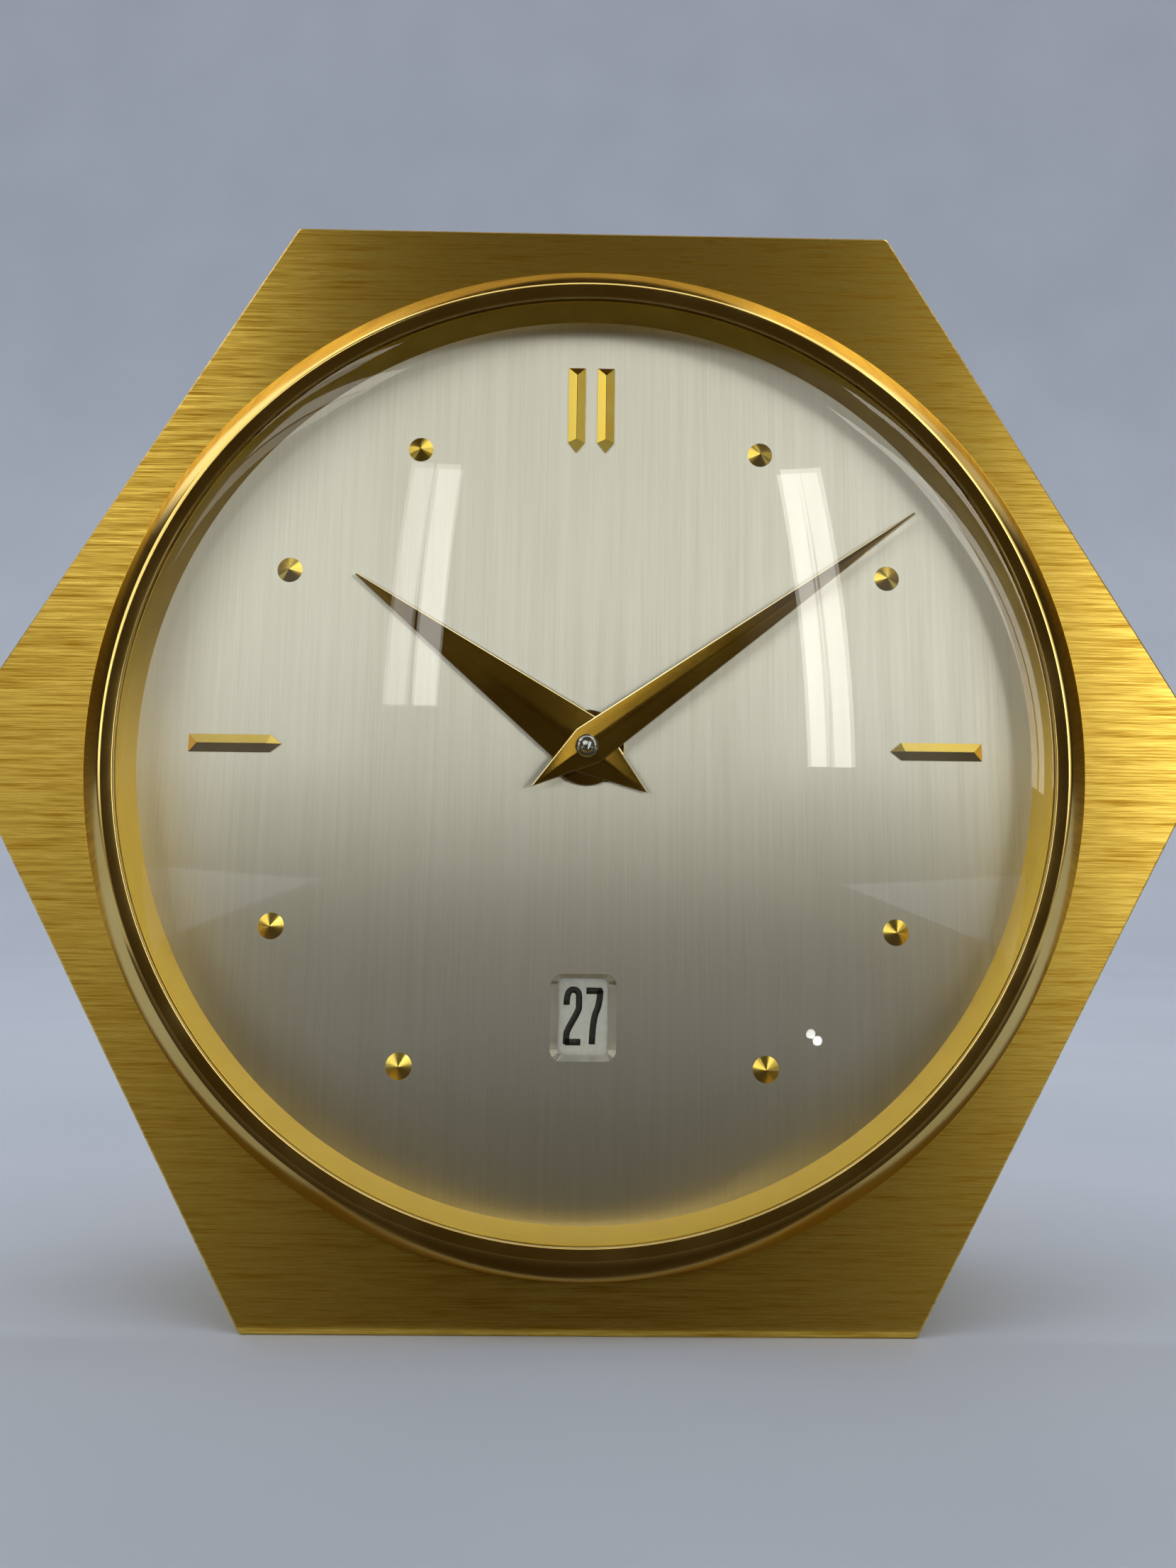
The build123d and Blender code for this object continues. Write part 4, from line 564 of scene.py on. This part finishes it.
# %% Hour bars
BAR_WIDTH, BAR_LENGTH, BAR_POINT, PAIR_SPACING = 1.45, 7.55, 0.9, 2.5
BAR_EDGE, BAR_RISE, RIDGE = 0.1, 0.36, 0.02
bar_end = round_sizes("hour_bars")[0]
dial_front = round_sizes("dial_plate")[2]
half, tip = BAR_WIDTH / 2, bar_end - BAR_LENGTH
outline = ((0, tip), (half, tip + BAR_POINT), (half, bar_end), (-half, bar_end), (-half, tip + BAR_POINT))
bm = bmesh.new()
for shift, turned in ((-PAIR_SPACING / 2, 0), (PAIR_SPACING / 2, 0), (0, 90), (0, -90)):
    around = Matrix.Rotation(math.radians(turned), 3, "Z")
    bm.faces.new([bm.verts.new(around @ Vector((x + shift, y, dial_front))) for x, y in outline])
raised = bmesh.ops.extrude_face_region(bm, geom=bm.faces[:], use_keep_orig=True)["geom"]
tops = only(bmesh.types.BMFace, raised)
bmesh.ops.translate(bm, verts=list({vert for top in tops for vert in top.verts}), vec=(0, 0, BAR_EDGE))
bmesh.ops.recalc_face_normals(bm, faces=bm.faces[:])
bmesh.ops.inset_individual(bm, faces=tops, thickness=half - RIDGE, depth=BAR_RISE, use_even_offset=True)
bmesh.ops.transform(bm, matrix=STAND, verts=bm.verts[:])
place_piece("applied_bars", bm, "hour_bars", edge_angle=FACET_ANGLE)

# %% [markdown]
# The studs at the other hours are small turned cones. A cone with a fine flat tip keeps the shading of its
# side straight from the tip to the foot, so that the light stands on it as a wedge.

# %% Hour studs
STUD_RADIUS, STUD_TIP, STUD_HEIGHT, STUD_DISTANCE = 1.04, 0.05, 0.45, 29.0
STUD_HOURS, HOUR_DEGREES, STUD_SIDES = (1, 2, 4, 5, 7, 8, 10, 11), 30, 96
bm = bmesh.new()
for hour in STUD_HOURS:
    around = Matrix.Rotation(math.radians(-HOUR_DEGREES * hour), 4, "Z")
    middle_place = Matrix.Translation((0, STUD_DISTANCE, dial_front + STUD_HEIGHT / 2))
    bmesh.ops.create_cone(
        bm, cap_ends=True, segments=STUD_SIDES, radius1=STUD_RADIUS, radius2=STUD_TIP, depth=STUD_HEIGHT,
        matrix=around @ middle_place,
    )
bmesh.ops.transform(bm, matrix=STAND, verts=bm.verts[:])
place_piece("applied_studs", bm, "hour_studs", edge_angle=FACET_ANGLE)

# %% [markdown]
# The date ring carries the numbers 1 to 31, printed in a tall narrow face with the heads towards the middle,
# so that each stands upright in the window at six. A digit is a few strokes of one even width. Each stroke is
# a curve laid flat as a ribbon, and its points are shares of the digit's width and height.

# %% Date numbers
DIGIT_HEIGHT, DIGIT_WIDTH, DIGIT_STEP, STROKE, INK = 4.45, 1.5, 1.7, 0.5, 0.02
NUMBER_COUNT, NUMBER_SHOWN, NUMBER_DISTANCE = 31, 27, 21.3
CURVE_STEPS = 5
DIGIT_SHARES = {
    "0": (("loop", ((0, 0), (0, 0.25), (0, 0.75), (0, 1), (1, 1), (1, 0.75), (1, 0.25), (1, 0))),),
    "1": (("line", ((0.62, -0.04), (0.62, 1.04))), ("line", ((0.05, 0.8), (0.62, 1)))),
    "2": (
        ("curve", ((0, 0.72), (0, 1.02), (1, 1.02), (1, 0.74), (1, 0.62), (0.1, 0.24), (0, 0.12), (0, -0.04))),
        ("line", ((-0.1, 0), (1.15, 0))),
    ),
    "3": (
        ("curve", ((0, 0.74), (0, 1.02), (1, 1.02), (1, 0.56), (0.4, 0.54))),
        ("curve", ((0.4, 0.54), (1, 0.52), (1, -0.02), (0, -0.02), (0, 0.26))),
    ),
    "4": (
        ("line", ((0.68, 1.02), (0, 0.28))),
        ("line", ((-0.1, 0.26), (1.2, 0.26))),
        ("line", ((0.72, -0.04), (0.72, 1.04))),
    ),
    "5": (
        ("line", ((0, 1), (1.05, 1))),
        ("line", ((0.08, 1), (0.05, 0.54))),
        ("curve", ((0.05, 0.52), (0.3, 0.68), (1, 0.68), (1, 0.35), (1, -0.02), (0, -0.02), (0, 0.24))),
    ),
    "6": (
        ("loop", ((0, 0), (0, 0.3), (0, 0.58), (1, 0.58), (1, 0.3), (1, 0))),
        ("curve", ((0, 0.3), (0, 0.7), (0, 1.02), (1, 1.02), (1, 0.76))),
    ),
    "7": (
        ("line", ((-0.12, 1), (1.15, 1))),
        ("curve", ((1, 1.02), (0.96, 0.74), (0.42, 0.45), (0.36, -0.04))),
    ),
    "8": (
        ("loop", ((0.04, 0.54), (0.04, 0.78), (0.04, 1), (0.96, 1), (0.96, 0.78), (0.96, 0.54))),
        ("loop", ((0, 0), (0, 0.26), (0, 0.54), (1, 0.54), (1, 0.26), (1, 0))),
    ),
    "9": (
        ("loop", ((1, 1), (1, 0.7), (1, 0.42), (0, 0.42), (0, 0.7), (0, 1))),
        ("curve", ((1, 0.7), (1, 0.3), (1, -0.02), (0, -0.02), (0, 0.24))),
    ),
}
ring_front = round_sizes("date_ring")[2]
ink_lines = bpy.data.curves.new("date_strokes", "CURVE")
ink_lines.dimensions = "3D"
ink_lines.twist_mode = "Z_UP"
ink_lines.extrude = STROKE / 2


def draw_stroke(kind, points, offset, turned):
    """Adds one stroke of a digit, offset along its line of writing and turned round the ring."""
    spline = ink_lines.splines.new("POLY" if kind == "line" else "NURBS")
    spline.points.add(len(points) - 1)
    for point, (across, up) in zip(spline.points, points):
        x = offset + (across - 0.5) * (DIGIT_WIDTH - STROKE)
        y = (up - 0.5) * (DIGIT_HEIGHT - STROKE) - NUMBER_DISTANCE
        point.co = (turned @ Vector((x, y, ring_front))).to_4d()
        point.tilt = math.radians(90)
    spline.use_cyclic_u = kind == "loop"
    spline.order_u = 3
    spline.use_endpoint_u = kind == "curve"
    spline.resolution_u = CURVE_STEPS


for number in range(1, NUMBER_COUNT + 1):
    turned = Matrix.Rotation(math.tau * (number - NUMBER_SHOWN) / NUMBER_COUNT, 3, "Z")
    digits = str(number)
    for index, digit in enumerate(digits):
        offset = (index - (len(digits) - 1) / 2) * DIGIT_STEP
        for kind, points in DIGIT_SHARES[digit]:
            draw_stroke(kind, points, offset, turned)
strokes = bpy.data.objects.new("date_strokes", ink_lines)
bpy.context.scene.collection.objects.link(strokes)
bpy.context.view_layer.update()
flat = bpy.data.meshes.new_from_object(strokes.evaluated_get(bpy.context.evaluated_depsgraph_get()))
bpy.data.objects.remove(strokes)
bm = bmesh.new()
bm.from_mesh(flat)
bmesh.ops.remove_doubles(bm, verts=bm.verts[:], dist=WELD)
raised = bmesh.ops.extrude_face_region(bm, geom=bm.faces[:], use_keep_orig=True)
bmesh.ops.translate(bm, verts=only(bmesh.types.BMVert, raised["geom"]), vec=(0, 0, INK))
bmesh.ops.recalc_face_normals(bm, faces=bm.faces[:])
bmesh.ops.transform(bm, matrix=STAND, verts=bm.verts[:])
date_numbers = new_object("date_numbers", bm, date_ink)
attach(date_numbers, body_of["date_ring"])
print("date numbers", len(date_numbers.data.polygons), "faces")

# %% [markdown]
# The clock stands on a plain pale surface that curves up behind it, as in a small photo tent, so no edge of
# the ground shows behind the brass. A single profile is drawn from the floor through a quarter circle to the
# wall and extruded sideways.

# %% Floor and backdrop
FLOOR_FRONT, FLOOR_BACK, SWEEP_ROUND, WALL_TOP, HALF_SPAN = -0.2, 0.45, 0.4, 0.8, 1.8
SWEEP_STEPS = 24
floor_finish = matt_paint("pale_blue_grey_board", ("#B0BACE", "#B6C0D4"), 0.6, 60)
bm = bmesh.new()
front = bm.verts.new((-HALF_SPAN, FLOOR_FRONT, 0))
turn_start = bm.verts.new((-HALF_SPAN, FLOOR_BACK, 0))
bm.edges.new((front, turn_start))
made = bmesh.ops.spin(
    bm, geom=[turn_start], cent=(-HALF_SPAN, FLOOR_BACK, SWEEP_ROUND), axis=(1, 0, 0),
    angle=math.radians(90), steps=SWEEP_STEPS,
)
turn_end = only(bmesh.types.BMVert, made["geom_last"])[0]
bm.edges.new((turn_end, bm.verts.new((-HALF_SPAN, FLOOR_BACK + SWEEP_ROUND, WALL_TOP))))
wide = bmesh.ops.extrude_edge_only(bm, edges=bm.edges[:])
bmesh.ops.translate(bm, verts=only(bmesh.types.BMVert, wide["geom"]), vec=(2 * HALF_SPAN, 0, 0))
bmesh.ops.recalc_face_normals(bm, faces=bm.faces[:])
sweep = new_object("studio_sweep", bm, floor_finish)
sweep.data.shade_smooth()
print("sweep", len(sweep.data.polygons), "faces")

# %% [markdown]
# A pale floor right in front of the clock would show in the brushed face and wash it out. Photographers lay a
# dark card there, just out of the picture. Here it is a single plate that only mirror images can see, so the
# floor still looks whole from every side.

# %% Dark card
CARD_NEAR, CARD_FAR, CARD_HALF_WIDTH, CARD_HEIGHT = -0.0163, -0.32, 0.11, 0.0004
card_finish = matt_paint("dark_brown_card", ("#2E2413", "#3A2E18"), 0.8, 40)
bm = bmesh.new()
bmesh.ops.create_grid(bm, x_segments=1, y_segments=1, size=0.5)
bmesh.ops.scale(bm, vec=(2 * CARD_HALF_WIDTH, CARD_NEAR - CARD_FAR, 1), verts=bm.verts[:])
bmesh.ops.translate(bm, vec=(0, (CARD_NEAR + CARD_FAR) / 2, CARD_HEIGHT), verts=bm.verts[:])
card = new_object("dark_card", bm, card_finish)
card.visible_camera = card.visible_diffuse = card.visible_shadow = False
print("dark card", CARD_HALF_WIDTH * 2, "m wide")

# %% [markdown]
# Two lamps with twin tubes stand left and right of the camera, and the domed glass mirrors them as two pairs
# of bright lines. The brushed face spreads their light up and down, so its two sides shine, and the brushed
# dial spreads it sideways, so its upper half shines. A soft lamp above lights the ground and the ring round the
# dial, one behind lights the back, and a pin of light low in front makes the spark at the glass's lower right.
# Each lamp is given by where it is seen from the dial and how bright it is.

# %% Lamps
FACE_CENTRE = Vector((0, FACE_Y, CENTRE_Z))
LAMP_DISTANCE = 1.5
PLAIN_TINT, TUBE_TINT = "#FFFFFF", "#FFFBF2"


def soft_lamp(
    name, azimuth, elevation, wide, tall, brightness, tint=PLAIN_TINT, start=FACE_CENTRE, far=LAMP_DISTANCE
):
    """Area lamp that faces the start; its place and size are angles in degrees seen from there."""
    a, e = math.radians(azimuth), math.radians(elevation)
    way = Vector((math.sin(a) * math.cos(e), -math.cos(a) * math.cos(e), math.sin(e)))
    data = bpy.data.lights.new(name, "AREA")
    data.shape = "RECTANGLE"
    data.size = 2 * far * math.tan(math.radians(wide / 2))
    data.size_y = 2 * far * math.tan(math.radians(tall / 2))
    data.energy = brightness * math.pi * data.size * data.size_y
    data.color = linear(tint)[:3]
    lamp = bpy.data.objects.new(name, data)
    lamp.location = start + way * far
    lamp.rotation_euler = way.to_track_quat("Z", "Y").to_euler()
    lamp.visible_camera = False
    bpy.context.scene.collection.objects.link(lamp)
    return lamp


LEFT_LOW, LEFT_HIGH, RIGHT_LOW, RIGHT_HIGH = 7.8, 33.8, 2.0, 33.4
for name, azimuth, wide, low, high, brightness in (
    ("left_tube_a", -20.1, 2.4, LEFT_LOW, LEFT_HIGH, 2.3),
    ("left_tube_b", -16.9, 2.6, LEFT_LOW, LEFT_HIGH, 3.4),
    ("right_tube_a", 25.1, 2.1, RIGHT_LOW, RIGHT_HIGH, 5.2),
    ("right_tube_b", 27.7, 2.3, RIGHT_LOW, RIGHT_HIGH, 4.8),
):
    soft_lamp(name, azimuth, (low + high) / 2, wide, high - low, brightness, TUBE_TINT)
soft_lamp("ceiling", azimuth=-8, elevation=71, wide=50, tall=28, brightness=1.2)
soft_lamp("back_fill", azimuth=180, elevation=46, wide=50, tall=20, brightness=3.0)
SPARK_PLACE = Vector((17.6, -4.4, -21.9)) * MM + FACE_CENTRE
SPARK_SIZE, SPARK_DISTANCE, SPARK_SPREAD = 1.8, 0.045, math.radians(12)
spark = soft_lamp(
    "spark", azimuth=26.0, elevation=-24.8, wide=SPARK_SIZE, tall=SPARK_SIZE, brightness=0.07,
    start=SPARK_PLACE, far=SPARK_DISTANCE,
)
spark.data.shape = "DISK"
spark.data.spread = SPARK_SPREAD
print("lamps", len(bpy.data.lights))

# %% [markdown]
# Behind the lamps lies a room, which is what the brass mirrors between its bright lines: dark in the middle,
# where the photographer stands, and pale to the left and right, most of all just above the table's far edge.
# Below that edge the table is dim. The sharp mirror of the glass sees it all dimmer, so that no veil lies over
# the dial, and the camera itself looks past the clock at a pale wall.

# %% Room
EDGE_LOW, EDGE_HIGH = -0.025, 0.05
GLOW, GLOW_LOW, GLOW_HIGH = 1.4, 0.07, 0.28
world = bpy.data.worlds.new("studio_room")
world.use_nodes = True
world.node_tree.nodes.clear()
tree = world.node_tree
way = add(tree, "ShaderNodeSeparateXYZ", links={0: add(tree, "ShaderNodeTexCoord").outputs["Generated"]})
across = add(tree, "ShaderNodeMapRange", {"From Min": -1.0, "From Max": 1.0}, {"Value": way.outputs["X"]})
above = add(
    tree, "ShaderNodeMapRange", {"From Min": EDGE_LOW, "From Max": EDGE_HIGH}, {"Value": way.outputs["Z"]}
)
glow = add(
    tree, "ShaderNodeMapRange",
    {"From Min": GLOW_LOW, "From Max": GLOW_HIGH, "To Min": GLOW, "To Max": 1.0}, {"Value": way.outputs["Z"]},
)
share = add(tree, "ShaderNodeMath", links={0: above.outputs[0], 1: glow.outputs[0]}, operation="MULTIPLY")


def as_stops(tones):
    """Stops of a ramp for tones that are given by how far across they stand, from -1 to 1."""
    return [((place + 1) / 2, tone) for place, tone in tones]


ROOM_DARK, TABLE_PALE, WALL_TONE = "#231C10", "#645D50", "#9CA2B0"
LEFT_PALE, RIGHT_PALE, RIGHT_DIM = "#D2D0CA", "#D8D6D0", "#8C8880"
ROOM_STRENGTH, GLASS_STRENGTH, WALL_STRENGTH = 2.5, 0.6, 1.0
UPPER_TONES = (
    (-0.83, ROOM_DARK), (-0.77, LEFT_PALE), (-0.47, LEFT_PALE), (-0.33, ROOM_DARK),
    (0.27, ROOM_DARK), (0.38, RIGHT_PALE), (0.6, RIGHT_PALE), (0.68, RIGHT_DIM), (0.78, RIGHT_DIM),
    (0.84, ROOM_DARK),
)
LOWER_TONES = (
    (-0.84, ROOM_DARK), (-0.7, TABLE_PALE), (-0.25, ROOM_DARK),
    (0.25, ROOM_DARK), (0.6, TABLE_PALE), (0.84, ROOM_DARK),
)
upper = add(tree, "ShaderNodeValToRGB", links={"Fac": across.outputs[0]}, stops=as_stops(UPPER_TONES))
lower = add(tree, "ShaderNodeValToRGB", links={"Fac": across.outputs[0]}, stops=as_stops(LOWER_TONES))
tone = add(
    tree, "ShaderNodeMix", links={0: share.outputs[0], 6: lower.outputs[0], 7: upper.outputs[0]},
    data_type="RGBA", clamp_factor=False,
)
light = add(tree, "ShaderNodeLightPath")
strength = add(
    tree, "ShaderNodeMapRange", {"To Min": ROOM_STRENGTH, "To Max": GLASS_STRENGTH},
    {"Value": light.outputs["Is Singular Ray"]},
)
dim = add(tree, "ShaderNodeBackground", links={"Color": tone.outputs[2], "Strength": strength.outputs[0]})
pale = add(tree, "ShaderNodeBackground", {"Color": linear(WALL_TONE), "Strength": WALL_STRENGTH})
room = add(
    tree, "ShaderNodeMixShader",
    links={0: light.outputs["Is Camera Ray"], 1: dim.outputs[0], 2: pale.outputs[0]},
)
add(tree, "ShaderNodeOutputWorld", links={"Surface": room.outputs[0]})
bpy.context.scene.world = world
print("room", world.name)

# %% [markdown]
# The photograph was taken from near, a little below the middle of the dial and looking up. It is the lower
# part of a larger picture, so the lens's axis lies above the middle of the frame, which Blender calls a shift.
# Place, turn and shift were worked out from the six corners of the case.

# %% Camera
CAMERA_PLACE = Vector((-1.2, -126.5, -9.56)) * MM + FACE_CENTRE
LOOK = Vector((0.018, 0.9781, 0.2073)).normalized()
UP = Vector((-0.0154, -0.207, 0.9782))
LENS, SHIFT_X, SHIFT_Y = 35.8, -0.01, -0.158
NEAREST, FARTHEST = 0.005, 20
right = LOOK.cross(UP).normalized()
up = right.cross(LOOK)
camera_data = bpy.data.cameras.new("studio_camera")
camera_data.lens = LENS
camera_data.shift_x, camera_data.shift_y = SHIFT_X, SHIFT_Y
camera_data.clip_start, camera_data.clip_end = NEAREST, FARTHEST
camera = bpy.data.objects.new("studio_camera", camera_data)
camera.matrix_world = Matrix.Translation(CAMERA_PLACE) @ Matrix((right, up, -LOOK)).transposed().to_4x4()
bpy.context.scene.collection.objects.link(camera)
bpy.context.scene.camera = camera
bpy.context.scene.view_settings.view_transform = "Standard"
print("camera", camera.name, "with a lens of", LENS, "mm")
